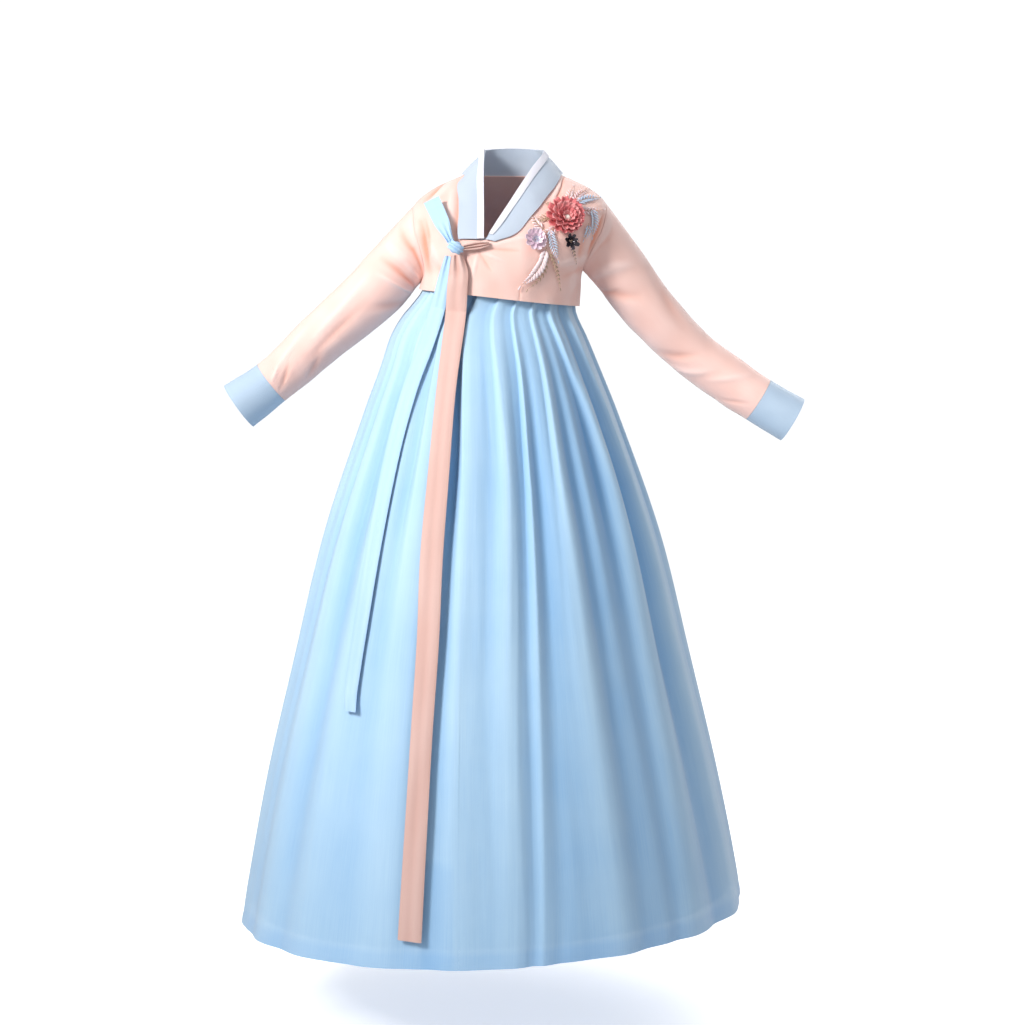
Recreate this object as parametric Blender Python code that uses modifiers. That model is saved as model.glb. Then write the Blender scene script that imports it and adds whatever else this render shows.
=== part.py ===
"""Korean hanbok: a short jacket (jeogori) closed with a ribbon bow, over a high pleated skirt (chima).

Metres, +Z up. The front faces -Y and the wearer's left is +X. The origin is the middle of the neck
at shoulder height, where the wearer holds the garment up. Every piece of cloth is a wall of its own.
"""

import math
from collections import namedtuple

import bmesh
import bpy
from mathutils import Vector

JACKET_WALL = 0.0015
SKIRT_WALL = 0.0012
RIBBON_WALL = 0.0010
BAND_WALL = 0.0020
SEAM_GAP = 0.0003
LAP_LIFT = 0.0034  # how far the lapping front stands off the one under it
LAP_FROM, LAP_TO = 0.050, 0.014  # across this stretch the lapping front rises to that height
SLEEVE_GAP = 0.0005
SKIRT_TOP, SKIRT_HEM, HEM_TILT = -0.150, -1.2525, 0.0175
LINING_HEM = 0.028  # the lining is this much shorter than the skirt
LINING_INSET = 0.022
BAND_HEIGHT = 0.045

Section = namedtuple("Section", "z centre half_width front back square")
TORSO = (
    Section(-0.225, -0.024, 0.136, 0.116, 0.100, 2.3),
    Section(-0.190, -0.021, 0.135, 0.118, 0.101, 2.4),
    Section(-0.160, -0.016, 0.133, 0.119, 0.103, 2.5),
    Section(-0.125, -0.011, 0.148, 0.114, 0.106, 2.7),
    Section(-0.090, -0.007, 0.164, 0.100, 0.106, 2.8),
    Section(-0.060, -0.004, 0.166, 0.080, 0.099, 2.7),
    Section(-0.040, -0.002, 0.153, 0.062, 0.088, 2.6),
    Section(-0.020, -0.001, 0.125, 0.046, 0.075, 2.4),
    Section(0.000, 0.000, 0.080, 0.030, 0.058, 2.2),
)
SKIRT = (
    Section(-1.275, -0.035, 0.433, 0.418, 0.405, 2.0),
    Section(-1.200, -0.033, 0.424, 0.408, 0.392, 2.0),
    Section(-1.000, -0.035, 0.385, 0.365, 0.350, 2.0),
    Section(-0.800, -0.036, 0.337, 0.315, 0.300, 2.0),
    Section(-0.600, -0.036, 0.287, 0.262, 0.250, 2.0),
    Section(-0.400, -0.037, 0.217, 0.201, 0.190, 2.0),
    Section(-0.320, -0.038, 0.186, 0.171, 0.158, 2.0),
    Section(-0.270, -0.040, 0.167, 0.146, 0.134, 2.1),
    Section(-0.235, -0.038, 0.1485, 0.1225, 0.109, 2.2),
    Section(-0.220, -0.033, 0.1405, 0.1145, 0.0985, 2.2),
    Section(-0.190, -0.021, 0.1305, 0.1110, 0.0950, 2.3),
    Section(-0.145, -0.018, 0.1240, 0.1080, 0.0930, 2.3),
)

# The jacket's rows from hem to neck: their height at each side seam, the inner edge of each front,
# and how far in the armhole cuts, as a share of the half width.
Level = namedtuple("Level", "row z_left z_right lap_edge under_edge hole")
LEVELS = (
    Level(0, -0.2195, -0.1910, -0.072, 0.008, 1.000),
    Level(1, -0.1900, -0.1860, -0.073, 0.008, 1.000),
    Level(2, -0.1600, -0.1800, -0.073, 0.008, 1.000),
    Level(3, -0.1500, -0.1660, -0.073, 0.008, 0.985),
    Level(4, -0.1380, -0.1500, -0.073, 0.008, 0.974),
    Level(5, -0.1240, -0.1340, -0.073, 0.006, 0.963),
    Level(6, -0.1080, -0.1160, -0.070, 0.000, 0.955),
    Level(7, -0.1035, -0.1115, -0.036, -0.078, 0.953),
    Level(8, -0.0920, -0.0990, 0.003, -0.081, 0.950),
    Level(9, -0.0760, -0.0820, 0.019, -0.082, 0.950),
    Level(10, -0.0600, -0.0660, 0.033, -0.082, 0.960),
    Level(11, -0.0420, -0.0480, 0.050, -0.082, 1.000),
    Level(12, -0.0300, -0.0330, 0.060, -0.082, 1.000),
    Level(13, -0.0180, -0.0190, 0.066, -0.080, 1.000),
    Level(14, -0.0080, -0.0080, 0.069, -0.074, 1.000),
    Level(15, 0.0000, 0.0000, 0.070, -0.070, 1.000),
)
UNDERARM_ROW, SHOULDER_ROW, NECK_ROW = 2, 11, 15

# Sleeve sections from the armhole to the cuff's mouth: centre, height of the tube across the arm
# and its depth. The cuff runs between the last two.
Tube = namedtuple("Tube", "along x y z tall deep")
ARM_LEFT = (
    Tube(1, 0.166, 0.002, -0.134, 0.097, 0.098),
    Tube(2, 0.227, 0.006, -0.219, 0.091, 0.090),
    Tube(3, 0.303, 0.006, -0.297, 0.082, 0.080),
    Tube(4, 0.365, -0.006, -0.343, 0.081, 0.076),
    Tube(5, 0.415, -0.022, -0.377, 0.078, 0.072),
    Tube(6, 0.472, -0.040, -0.410, 0.080, 0.072),
)
ARM_RIGHT = (
    Tube(1, -0.197, 0.002, -0.150, 0.098, 0.098),
    Tube(2, -0.234, 0.006, -0.195, 0.100, 0.094),
    Tube(3, -0.326, 0.006, -0.275, 0.088, 0.084),
    Tube(4, -0.372, -0.006, -0.318, 0.081, 0.078),
    Tube(5, -0.407, -0.022, -0.348, 0.077, 0.074),
    Tube(6, -0.461, -0.040, -0.387, 0.085, 0.074),
)

# Collar sections, from its tip on the lapping front, round the neck, to its end under the closure.
# The sewn edge lies on the jacket at an angle round the neck; the free edge is given outright.
Band = namedtuple("Band", "station angle z lift x_free y_free z_free")
COLLAR = (
    Band(0, -10, -0.1115, 0.0075, -0.044, -0.1155, -0.1085),
    Band(1, 7, -0.0985, 0.0068, -0.0295, -0.1060, -0.0845),
    Band(2, 23, -0.0670, 0.0055, -0.0055, -0.0790, -0.0480),
    Band(3, 51, -0.0280, 0.0045, 0.0300, -0.0430, 0.0080),
    Band(4, 84, 0.0010, 0.0045, 0.0505, -0.0040, 0.0370),
    Band(5, 135, 0.0010, 0.0040, 0.0400, 0.0400, 0.0440),
    Band(6, 180, 0.0010, 0.0040, 0.0000, 0.0530, 0.0470),
    Band(7, 225, 0.0010, 0.0040, -0.0400, 0.0400, 0.0440),
    Band(8, 276, 0.0010, 0.0045, -0.0460, -0.0040, 0.0370),
    Band(9, 292, -0.0170, 0.0045, -0.0475, -0.0410, -0.0010),
    Band(10, 313, -0.0600, 0.0040, -0.0470, -0.0850, -0.0600),
    Band(11, 323, -0.1080, 0.0040, -0.0470, -0.1130, -0.1080),
)
STRIP_FROM, STRIP_TO = 0.75, 1.0  # the white strip's share of the collar's width

# Pleat crests round the skirt: their angle at the band, a third of the way down and at the hem, and
# how deep the cloth falls away beside each at those three heights.
Pleat = namedtuple("Pleat", "top mid hem top_deep mid_deep hem_deep")
PLEATS = (
    Pleat(-17, -11, -8, 0.0060, 0.014, 0.010),
    Pleat(2.5, 7, 5, 0.0030, 0.007, 0.004),
    Pleat(18.5, 18, 13, 0.0035, 0.014, 0.013),
    Pleat(33, 32, 35, 0.0020, 0.009, 0.014),
    Pleat(46, 54, 61, 0.0050, 0.016, 0.014),
    Pleat(64, 70, 76, 0.0040, 0.012, 0.009),
    Pleat(80, 87, 93, 0.0040, 0.010, 0.012),
    Pleat(96, 102, 106, 0.0030, 0.014, 0.010),
    Pleat(113, 117, 120, 0.0040, 0.011, 0.014),
    Pleat(128, 131, 133, 0.0050, 0.015, 0.010),
    Pleat(144, 145, 147, 0.0030, 0.010, 0.012),
    Pleat(158, 160, 161, 0.0040, 0.014, 0.014),
    Pleat(175, 174, 175, 0.0050, 0.012, 0.009),
    Pleat(190, 190, 189, 0.0030, 0.013, 0.013),
    Pleat(205, 203, 204, 0.0040, 0.010, 0.011),
    Pleat(221, 219, 217, 0.0050, 0.015, 0.014),
    Pleat(236, 234, 232, 0.0030, 0.011, 0.009),
    Pleat(252, 249, 247, 0.0040, 0.014, 0.013),
    Pleat(267, 264, 262, 0.0030, 0.010, 0.012),
    Pleat(283, 280, 278, 0.0040, 0.012, 0.010),
    Pleat(299, 297, 295, 0.0030, 0.009, 0.011),
    Pleat(313, 313, 313, 0.0040, 0.012, 0.009),
    Pleat(328, 330, 332, 0.0030, 0.010, 0.010),
)
LIP = 0.22  # share of each pleat taken by its steep side
PLEAT_STEPS = (0.0, 0.40, 0.79)
MID_SHARE = 0.33
WIDTH_SEAMS = (0, 8, 16)  # the pleats that carry the seams between the three widths of cloth
SEAM_AT = 0.08  # how far past the pleat's crest each seam lies, as a share of the pleat
SKIRT_ROWS = (0.0, 0.045, 0.075, 0.115, 0.17, 0.25, 0.36, 0.50, 0.66, 0.83, 1.0)

# Ribbon routes: place, width and stand-off from what lies behind.
Route = namedtuple("Route", "step x z width lift")
LONG_TAIL = (
    Route(0, -0.0915, -0.1340, 0.018, 0.010),
    Route(1, -0.0890, -0.1600, 0.031, 0.009),
    Route(2, -0.0910, -0.1900, 0.034, 0.009),
    Route(3, -0.0950, -0.2450, 0.034, 0.008),
    Route(4, -0.1085, -0.3550, 0.032, 0.006),
    Route(5, -0.1210, -0.5000, 0.035, 0.006),
    Route(6, -0.1305, -0.6200, 0.037, 0.006),
    Route(7, -0.1355, -0.7500, 0.036, 0.006),
    Route(8, -0.1445, -0.8900, 0.035, 0.006),
    Route(9, -0.1530, -1.0400, 0.036, 0.006),
    Route(10, -0.1625, -1.2120, 0.038, 0.006),
)
BLUE_TAIL = (
    Route(0, -0.1045, -0.1360, 0.014, 0.0040),
    Route(1, -0.1120, -0.1720, 0.022, 0.0040),
    Route(2, -0.1250, -0.2260, 0.025, 0.0040),
    Route(3, -0.1440, -0.2850, 0.025, 0.0045),
    Route(4, -0.1680, -0.3500, 0.025, 0.0050),
    Route(5, -0.1960, -0.4520, 0.025, 0.0050),
    Route(6, -0.2240, -0.5950, 0.024, 0.0050),
    Route(7, -0.2460, -0.7300, 0.023, 0.0050),
    Route(8, -0.2610, -0.8300, 0.022, 0.0060),
    Route(9, -0.2625, -0.8680, 0.019, 0.0090),
)
STUB = (
    Route(0, -0.0370, -0.1155, 0.014, 0.0062),
    Route(1, -0.0560, -0.1190, 0.019, 0.0075),
    Route(2, -0.0780, -0.1225, 0.016, 0.0100),
)
KNOT_PLACE, KNOT_SIZE, KNOT_LIFT = (-0.0935, -0.1215), (0.0130, 0.0075, 0.0110), 0.0135
LOOP_FOOT, LOOP_TOP = (-0.1010, -0.1130), (-0.1350, -0.0420)
LOOP_WIDTHS = (0.012, 0.024, 0.028)
LOOP_LIFT, LOOP_OPEN = 0.0100, 0.0080

# Applique on the wearer's left chest: each spray's two ends and its width.
Spray = namedtuple("Spray", "x z x_tip z_tip width")
SPRAYS = (
    Spray(0.112, -0.040, 0.140, -0.036, 0.018),
    Spray(0.132, -0.058, 0.128, -0.100, 0.017),
    Spray(0.061, -0.090, 0.074, -0.137, 0.015),
    Spray(0.065, -0.074, 0.042, -0.080, 0.016),
    Spray(0.053, -0.126, 0.015, -0.182, 0.022),
    Spray(0.0610, -0.141, 0.0740, -0.186, 0.009),
    Spray(0.096, -0.121, 0.103, -0.142, 0.007),
)
Flower = namedtuple("Flower", "name x z radius height petals")
FLOWERS = (
    Flower("flower_large", 0.0905, -0.0705, 0.0270, 0.010, 6),
    Flower("flower_small", 0.0390, -0.1080, 0.0145, 0.006, 5),
    Flower("flower_dark", 0.0960, -0.1110, 0.0085, 0.004, 5),
)
TRIM_LIFT, SPRAY_THICK = 0.0024, 0.0010

PEACH = (0.91, 0.62, 0.53)
PALE_BLUE = (0.62, 0.78, 0.90)
SKIRT_BLUE = (0.46, 0.68, 0.92)
WHITE = (0.90, 0.89, 0.94)
CORAL = (0.68, 0.14, 0.15)
SILVER = (0.66, 0.66, 0.74)
DARK = (0.03, 0.02, 0.04)
LILAC = (0.80, 0.62, 0.74)


def smooth(rows, at, column):
    """One column of a table at a value of its first column, on a curve through the rows."""
    last = len(rows) - 1
    at = min(max(at, rows[0][0]), rows[last][0])
    low = max(i for i in range(last) if rows[i][0] <= at)
    step = rows[low + 1][0] - rows[low][0]
    share = (at - rows[low][0]) / step

    def slope(i):
        before, after = rows[max(i - 1, 0)], rows[min(i + 1, last)]
        return (getattr(after, column) - getattr(before, column)) / (after[0] - before[0])

    start, end = getattr(rows[low], column), getattr(rows[low + 1], column)
    leave, arrive = slope(low) * step, slope(low + 1) * step
    square, cube = share**2, share**3
    return (
        (2 * cube - 3 * square + 1) * start
        + (cube - 2 * square + share) * leave
        + (3 * square - 2 * cube) * end
        + (cube - square) * arrive
    )


def straight(rows, at, column):
    """One column of a table at a value of its first column, on straight lines between the rows."""
    last = len(rows) - 1
    low = max(i for i in range(last) if rows[i][0] <= at or i == 0)
    share = (at - rows[low][0]) / (rows[low + 1][0] - rows[low][0])
    start, end = getattr(rows[low], column), getattr(rows[low + 1], column)
    return start + (end - start) * share


def ease(share):
    share = min(max(share, 0.0), 1.0)
    return share * share * (3 - 2 * share)


def ring_point(sections, angle, z, out=0.0):
    """A point of a body section at an angle from the front (degrees, +X at 90), moved out."""
    turn = math.radians(angle)
    side, ahead = math.sin(turn), math.cos(turn)
    width = smooth(sections, z, "half_width") + out
    depth = smooth(sections, z, "front" if ahead > 0 else "back") + out
    power = smooth(sections, z, "square")
    radius = (abs(side / width) ** power + abs(ahead / depth) ** power) ** (-1 / power)
    return (smooth(sections, z, "centre") + radius * side, -radius * ahead, z)


def front_y(sections, x, z, out=0.0):
    """How far forward the front of a body section lies at one x."""
    width = smooth(sections, z, "half_width") + out
    depth = smooth(sections, z, "front") + out
    power = smooth(sections, z, "square")
    share = min(abs(x - smooth(sections, z, "centre")) / width, 0.999)
    return -depth * (1 - share**power) ** (1 / power)


def jacket_z(angle, row):
    left_share = (1 + math.sin(math.radians(angle))) / 2
    z_right = straight(LEVELS, row, "z_right")
    return z_right + (straight(LEVELS, row, "z_left") - z_right) * left_share


def jacket_point(angle, row, out=0.0):
    return ring_point(TORSO, angle, jacket_z(angle, row), out)


def jacket_angle(x, row):
    """The angle at which a row of the jacket's front reaches one x."""
    low, high = -90.0, 90.0
    for _ in range(40):
        middle = (low + high) / 2
        if jacket_point(middle, row)[0] < x:
            low = middle
        else:
            high = middle
    return low


def hole_angle(side, row):
    """Where the front's outer edge lies on a row: the side seam, the armhole or the shoulder seam."""
    share = straight(LEVELS, row, "hole")
    if share == 1:
        point = jacket_point(side * 90, row)
        return side * (90 - math.degrees(SEAM_GAP / 2 / abs(point[0])))
    z = jacket_z(side * 90, row)
    reach = smooth(TORSO, z, "half_width") * share
    return jacket_angle(smooth(TORSO, z, "centre") + side * reach, row)


def lap_lift(x):
    return LAP_LIFT * ease((LAP_FROM - x) / (LAP_FROM - LAP_TO))


def add_material(name, colour, roughness):
    material = bpy.data.materials.new(name)
    material.use_nodes = True
    shader = material.node_tree.nodes["Principled BSDF"]
    shader.inputs["Base Color"].default_value = (*colour, 1)
    shader.inputs["Roughness"].default_value = roughness
    shader.inputs["Metallic"].default_value = 0.0
    return material


def add_object(name, mesh, material):
    mesh.materials.append(material)
    mesh.shade_smooth()
    piece = bpy.data.objects.new(name, mesh)
    garment.objects.link(piece)
    return piece


def add_cloth(name, across, along, place, wall, material, ring=False, grow=1):
    """An open sheet lofted through place(across, along), with the wall laid on one side of it."""
    points = [place(u, v) for v in along for u in across]
    count = len(across)
    spans = count if ring else count - 1
    faces = []
    for row in range(len(along) - 1):
        for i in range(spans):
            a, b = row * count + i, row * count + (i + 1) % count
            faces.append((a, b, b + count, a + count))
    mesh = bpy.data.meshes.new(name)
    mesh.from_pydata(points, [], faces)
    piece = add_object(name, mesh, material)
    solidify = piece.modifiers.new("Wall", "SOLIDIFY")
    solidify.thickness = wall
    solidify.offset = grow
    return piece


def steps(count, start=0.0, end=1.0):
    return [start + (end - start) * i / count for i in range(count + 1)]


def add_jacket_body(material):
    rows = range(NECK_ROW + 1)

    def front(side, edge_column, lift):
        def place(share, row):
            inner = jacket_angle(straight(LEVELS, row, edge_column), row)
            angle = inner + (hole_angle(side, row) - inner) * share
            return jacket_point(angle, row, lift(jacket_point(angle, row)[0]))

        return place

    def back(share, row):
        left, right = 180 - hole_angle(1, row), 180 - hole_angle(-1, row)
        return jacket_point(left + (right - left) * share, row)

    lapping = front(1, "lap_edge", lap_lift)
    under = front(-1, "under_edge", lambda x: 0.0)
    add_cloth("jeogori_front_left", steps(12), rows, lapping, JACKET_WALL, material)
    # The other front is counted from the side seam inwards, so that it too faces out.
    add_cloth(
        "jeogori_front_right",
        steps(9),
        rows,
        lambda share, row: under(1 - share, row),
        JACKET_WALL,
        material,
    )
    add_cloth("jeogori_back", steps(15), rows, back, JACKET_WALL, material)


def armhole(side):
    """The armhole's points from the underarm up the front, over the shoulder and down the back."""
    up = list(range(UNDERARM_ROW, SHOULDER_ROW + 1))
    front = [(hole_angle(side, row), row) for row in up]
    back = [(side * 180 - hole_angle(side, row), row) for row in reversed(up[1:-1])]
    front[0] = (side * 90, UNDERARM_ROW)
    front[-1] = (side * 90, SHOULDER_ROW)
    return [jacket_point(angle, row, JACKET_WALL) for angle, row in front + back]


def tube_direction(arm, along):
    reach = 0.25
    before, after = max(along - reach, 1), min(along + reach, arm[-1].along)
    step = [smooth(arm, after, axis) - smooth(arm, before, axis) for axis in "xyz"]
    length = math.hypot(*step)
    return [value / length for value in step]


def tube_point(arm, side, along, turn):
    """A point of the sleeve: the turn runs from the underarm by the front to the top and back."""
    along_x, _, along_z = tube_direction(arm, along)
    level = math.hypot(along_x, along_z)
    up_x, up_z = -side * along_z / level, abs(along_x) / level
    tall = -math.cos(turn) * smooth(arm, along, "tall") / 2
    deep = -math.sin(turn) * smooth(arm, along, "deep") / 2
    return (
        smooth(arm, along, "x") + up_x * tall,
        smooth(arm, along, "y") + deep,
        smooth(arm, along, "z") + up_z * tall,
    )


def add_sleeve(name, cuff_name, arm, side, material, cuff_material):
    hole = armhole(side)
    count = len(hole)
    direction = tube_direction(arm, 1)
    start = [[value + way * SLEEVE_GAP for value, way in zip(point, direction)] for point in hole]
    cuff_from, cuff_to = arm[-2].along, arm[-1].along
    cuff_start = cuff_from + SEAM_GAP / math.dist(arm[-2][1:4], arm[-1][1:4])
    # The tube's points are taken the other way round on one arm, so that both face out.
    order = [(side * -i) % count for i in range(count)]

    def place(i, along):
        turn = 2 * math.pi * i / count
        if along >= 1:
            return tube_point(arm, side, along, turn)
        near = tube_point(arm, side, 1, turn)
        return [a + (b - a) * along for a, b in zip(start[i], near)]

    sleeve_rows = [0, 0.5] + steps(5, 1, cuff_from)
    add_cloth(name, order, sleeve_rows, place, JACKET_WALL, material, ring=True, grow=-1)
    cuff_rows = steps(2, cuff_start, cuff_to)
    add_cloth(cuff_name, order, cuff_rows, place, JACKET_WALL, cuff_material, ring=True, grow=-1)


def collar_point(share, station):
    """A point of the collar: share 0 is its sewn edge and 1 its free edge."""
    angle = smooth(COLLAR, station, "angle")
    z = smooth(COLLAR, station, "z")
    sewn = Vector(ring_point(TORSO, angle, min(z, 0.0), smooth(COLLAR, station, "lift")))
    sewn.z = z
    free = Vector([smooth(COLLAR, station, column) for column in ("x_free", "y_free", "z_free")])
    return sewn.lerp(free, share)


def over_collar(share, station, out):
    """A point moved straight out from the collar's face."""
    reach = 0.05
    along = collar_point(share, station + reach) - collar_point(share, station - reach)
    up = collar_point(1, station) - collar_point(0, station)
    return collar_point(share, station) + along.cross(up).normalized() * out


def add_collar(material, strip_material):
    last = COLLAR[-1].station
    stations = steps(27, 0, last)
    # Across from the free edge to the sewn one, so that the faces look away from the neck.
    add_cloth(
        "git",
        stations,
        (0.0, STRIP_FROM / 2, STRIP_FROM, STRIP_TO),
        lambda station, share: collar_point(share, station),
        JACKET_WALL,
        material,
    )
    add_cloth(
        "dongjeong",
        stations[1:],
        (STRIP_FROM, STRIP_TO),
        lambda station, share: over_collar(share, station, JACKET_WALL + 2 * SEAM_GAP),
        RIBBON_WALL,
        strip_material,
    )


def skirt_z(angle, down):
    hem = SKIRT_HEM + HEM_TILT * math.sin(math.radians(angle))
    return SKIRT_TOP + (hem - SKIRT_TOP) * down


def pleat_value(pleat, down, names):
    top, mid, hem = (getattr(pleat, name) for name in names)
    if down < MID_SHARE:
        return top + (mid - top) * ease(down / MID_SHARE)
    return mid + (hem - mid) * (down - MID_SHARE) / (1 - MID_SHARE)


def skirt_point(turn, down, out=0.0, pleated=1.0):
    """A point of the skirt. The turn counts pleats: 2.5 is halfway between crests 2 and 3."""
    index = int(math.floor(turn)) % len(PLEATS)
    share = turn - math.floor(turn)
    here, after = PLEATS[index], PLEATS[(index + 1) % len(PLEATS)]
    start = pleat_value(here, down, ("top", "mid", "hem"))
    end = pleat_value(after, down, ("top", "mid", "hem"))
    end += 360 * (end < start)
    angle = start + (end - start) * share
    deep = ("top_deep", "mid_deep", "hem_deep")
    depth = pleat_value(here, down, deep) * (1 - share) + pleat_value(after, down, deep) * share
    if share < 1 - LIP:
        fall = (1 - math.cos(math.pi * share / (1 - LIP))) / 2
    else:
        fall = (1 + math.cos(math.pi * (share - 1 + LIP) / LIP)) / 2
    return ring_point(SKIRT, angle, skirt_z(angle, down), out - pleated * depth * fall)


def add_skirt(material, lining_material, band_material):
    names = ("chima_front_left", "chima_back", "chima_front_right")
    for number, name in enumerate(names):
        first = WIDTH_SEAMS[number]
        last = (WIDTH_SEAMS + (len(PLEATS),))[number + 1]
        turns = [pleat + step for pleat in range(first, last + 1) for step in PLEAT_STEPS]
        turns = [turn for turn in turns if first + SEAM_AT < turn < last + SEAM_AT]
        gap = SEAM_GAP / 2 / 0.033  # as a share of a pleat's width at the band
        turns = [first + SEAM_AT + gap, *turns, last + SEAM_AT - gap]
        add_cloth(name, turns, SKIRT_ROWS[::-1], skirt_point, SKIRT_WALL, material, grow=-1)

    def lining(turn, down):
        """The lining follows the skirt's section inside its deepest pleats."""
        inset = LINING_INSET * (0.75 + 0.25 * ease(down / 0.15))
        x, y, z = skirt_point(turn, down, -inset, 0.25)
        return (x, y, z + LINING_HEM * ease((down - 0.8) / 0.2))

    turns = range(len(PLEATS))
    rows = (1.0, 0.66, 0.36, 0.17, 0.075, 0.0)
    add_cloth("chima_lining", turns, rows, lining, SKIRT_WALL, lining_material, ring=True, grow=-1)

    def band(angle, up):
        inset = 0.004 + BAND_WALL
        return ring_point(SKIRT, angle, SKIRT_TOP, -inset)[:2] + (SKIRT_TOP + SEAM_GAP + up,)

    angles = [360 * i / 32 for i in range(32)]
    rows = (0.0, BAND_HEIGHT)
    add_cloth("chima_band", angles, rows, band, BAND_WALL, band_material, ring=True)


def hang_y(x, z, lift):
    """Where a ribbon hangs: in front of the jacket and, under its hem, of the skirt."""
    jacket_floor = TORSO[0].z
    over_jacket = front_y(TORSO, x, max(z, jacket_floor), lift + JACKET_WALL + LAP_LIFT)
    over_skirt = front_y(SKIRT, x, min(z, SKIRT_TOP), lift)
    # Under the hem the ribbon leaves the jacket and meets the flaring skirt.
    away = 0.06
    fade = ease((jacket_floor - z) / away)
    return min(over_jacket * (1 - fade) + over_skirt * fade, over_skirt)


def add_ribbon(name, route, rows, material):
    last = route[-1].step

    def place(share, step):
        before, after = max(step - 0.5, 0), min(step + 0.5, last)
        way_x = smooth(route, after, "x") - smooth(route, before, "x")
        way_z = smooth(route, after, "z") - smooth(route, before, "z")
        length = math.hypot(way_x, way_z)
        offset = share * smooth(route, step, "width")
        x = smooth(route, step, "x") - way_z / length * offset
        z = smooth(route, step, "z") + way_x / length * offset
        return (x, hang_y(x, z, smooth(route, step, "lift")), z)

    # From the far end up, so that the faces look forwards.
    along = steps(rows, last, 0)
    add_cloth(name, (-0.5, 0.0, 0.5), along, place, RIBBON_WALL, material)


def add_bow(peach, blue):
    add_ribbon("goreum_tail", LONG_TAIL, 18, peach)
    add_ribbon("goreum_blue_tail", BLUE_TAIL, 16, blue)
    add_ribbon("goreum_stub", STUB, 5, peach)

    knot = bmesh.new()
    bmesh.ops.create_uvsphere(knot, u_segments=12, v_segments=8, radius=1)
    x, z = KNOT_PLACE
    y = hang_y(x, z, KNOT_LIFT)
    for vertex in knot.verts:
        size = KNOT_SIZE
        vertex.co = (
            x + vertex.co.x * size[0],
            y + vertex.co.y * size[1],
            z + vertex.co.z * size[2] - vertex.co.x * size[2] * 0.2,
        )
    mesh = bpy.data.meshes.new("goreum_knot")
    knot.to_mesh(mesh)
    knot.free()
    add_object("goreum_knot", mesh, blue)

    def loop(share, turn):
        """The ribbon runs up the back layer, over the fold and down the front layer."""
        up = 1 - abs(turn)
        up = 1 - (1 - up) ** 1.6 if up < 1 else 1.0
        middle_x = LOOP_FOOT[0] + (LOOP_TOP[0] - LOOP_FOOT[0]) * up
        middle_z = LOOP_FOOT[1] + (LOOP_TOP[1] - LOOP_FOOT[1]) * up
        foot, waist, top = LOOP_WIDTHS
        width = foot + (waist - foot) * ease(up * 2) + (top - waist) * ease(up)
        lean = math.atan2(LOOP_TOP[1] - LOOP_FOOT[1], LOOP_TOP[0] - LOOP_FOOT[0]) - math.pi / 2
        x = middle_x + math.cos(lean) * width * share
        z = middle_z + math.sin(lean) * width * share
        opened = LOOP_OPEN / 2 * math.sin(math.pi / 2 * turn)
        swell = 0.35 + 0.65 * math.sin(math.pi * min(max(up, 0.0), 1.0)) if abs(turn) > 0.05 else 1
        return (x, hang_y(middle_x, middle_z, LOOP_LIFT) - opened * swell, z)

    turns = [-1, -0.75, -0.5, -0.3, -0.12, 0, 0.12, 0.3, 0.5, 0.75, 1]
    add_cloth("goreum_loop", (0.5, 0.0, -0.5), turns, loop, RIBBON_WALL, blue)


def chest_point(x, z, out):
    """A point of the lapping front, moved out."""
    lift = lap_lift(x) + JACKET_WALL + out
    return (x, front_y(TORSO, x, z, lift), z)


def add_applique(coral, lilac, dark, silver):
    for number, spray in enumerate(SPRAYS, start=1):
        way_x, way_z = spray.x_tip - spray.x, spray.z_tip - spray.z
        length = math.hypot(way_x, way_z)

        def place(share, along):
            bulge = 0.25 + 0.75 * math.sin(math.pi * min(0.15 + along * 0.8, 1.0))
            offset = share * spray.width * bulge
            x = spray.x + way_x * along + way_z / length * offset
            z = spray.z + way_z * along - way_x / length * offset
            return chest_point(x, z, TRIM_LIFT)

        add_cloth(f"spray_{number}", (-0.5, 0.0, 0.5), steps(4), place, SPRAY_THICK, silver)

    for flower, material in zip(FLOWERS, (coral, lilac, dark)):
        shape = bmesh.new()
        bmesh.ops.create_cone(
            shape, cap_ends=True, segments=24, radius1=1, radius2=0.45, depth=1, calc_uvs=False
        )
        for vertex in shape.verts:
            turn = math.atan2(vertex.co.y, vertex.co.x)
            reach = math.hypot(vertex.co.x, vertex.co.y) * flower.radius
            reach *= 1 - 0.12 * (0.5 - 0.5 * math.cos(turn * flower.petals))
            up = (vertex.co.z + 0.5) * flower.height
            x, z = flower.x + reach * math.cos(turn), flower.z + reach * math.sin(turn)
            vertex.co = chest_point(x, z, TRIM_LIFT + SPRAY_THICK + SEAM_GAP + up)
        bmesh.ops.recalc_face_normals(shape, faces=shape.faces)
        mesh = bpy.data.meshes.new(flower.name)
        shape.to_mesh(mesh)
        shape.free()
        add_object(flower.name, mesh, material)


for old in list(bpy.data.objects):
    bpy.data.objects.remove(old, do_unlink=True)
garment = bpy.data.collections.new("korean_hanbok")
bpy.context.scene.collection.children.link(garment)

peach_cloth = add_material("peach_cloth", PEACH, 0.55)
blue_cloth = add_material("pale_blue_cloth", PALE_BLUE, 0.5)
organza = add_material("skirt_organza", SKIRT_BLUE, 0.5)
lining_cloth = add_material("lining_cloth", SKIRT_BLUE, 0.7)
white_cloth = add_material("white_strip", WHITE, 0.6)
coral_petal = add_material("coral_petal", CORAL, 0.6)
silver_thread = add_material("silver_thread", SILVER, 0.35)
dark_petal = add_material("dark_petal", DARK, 0.4)
lilac_petal = add_material("lilac_petal", LILAC, 0.5)

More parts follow.
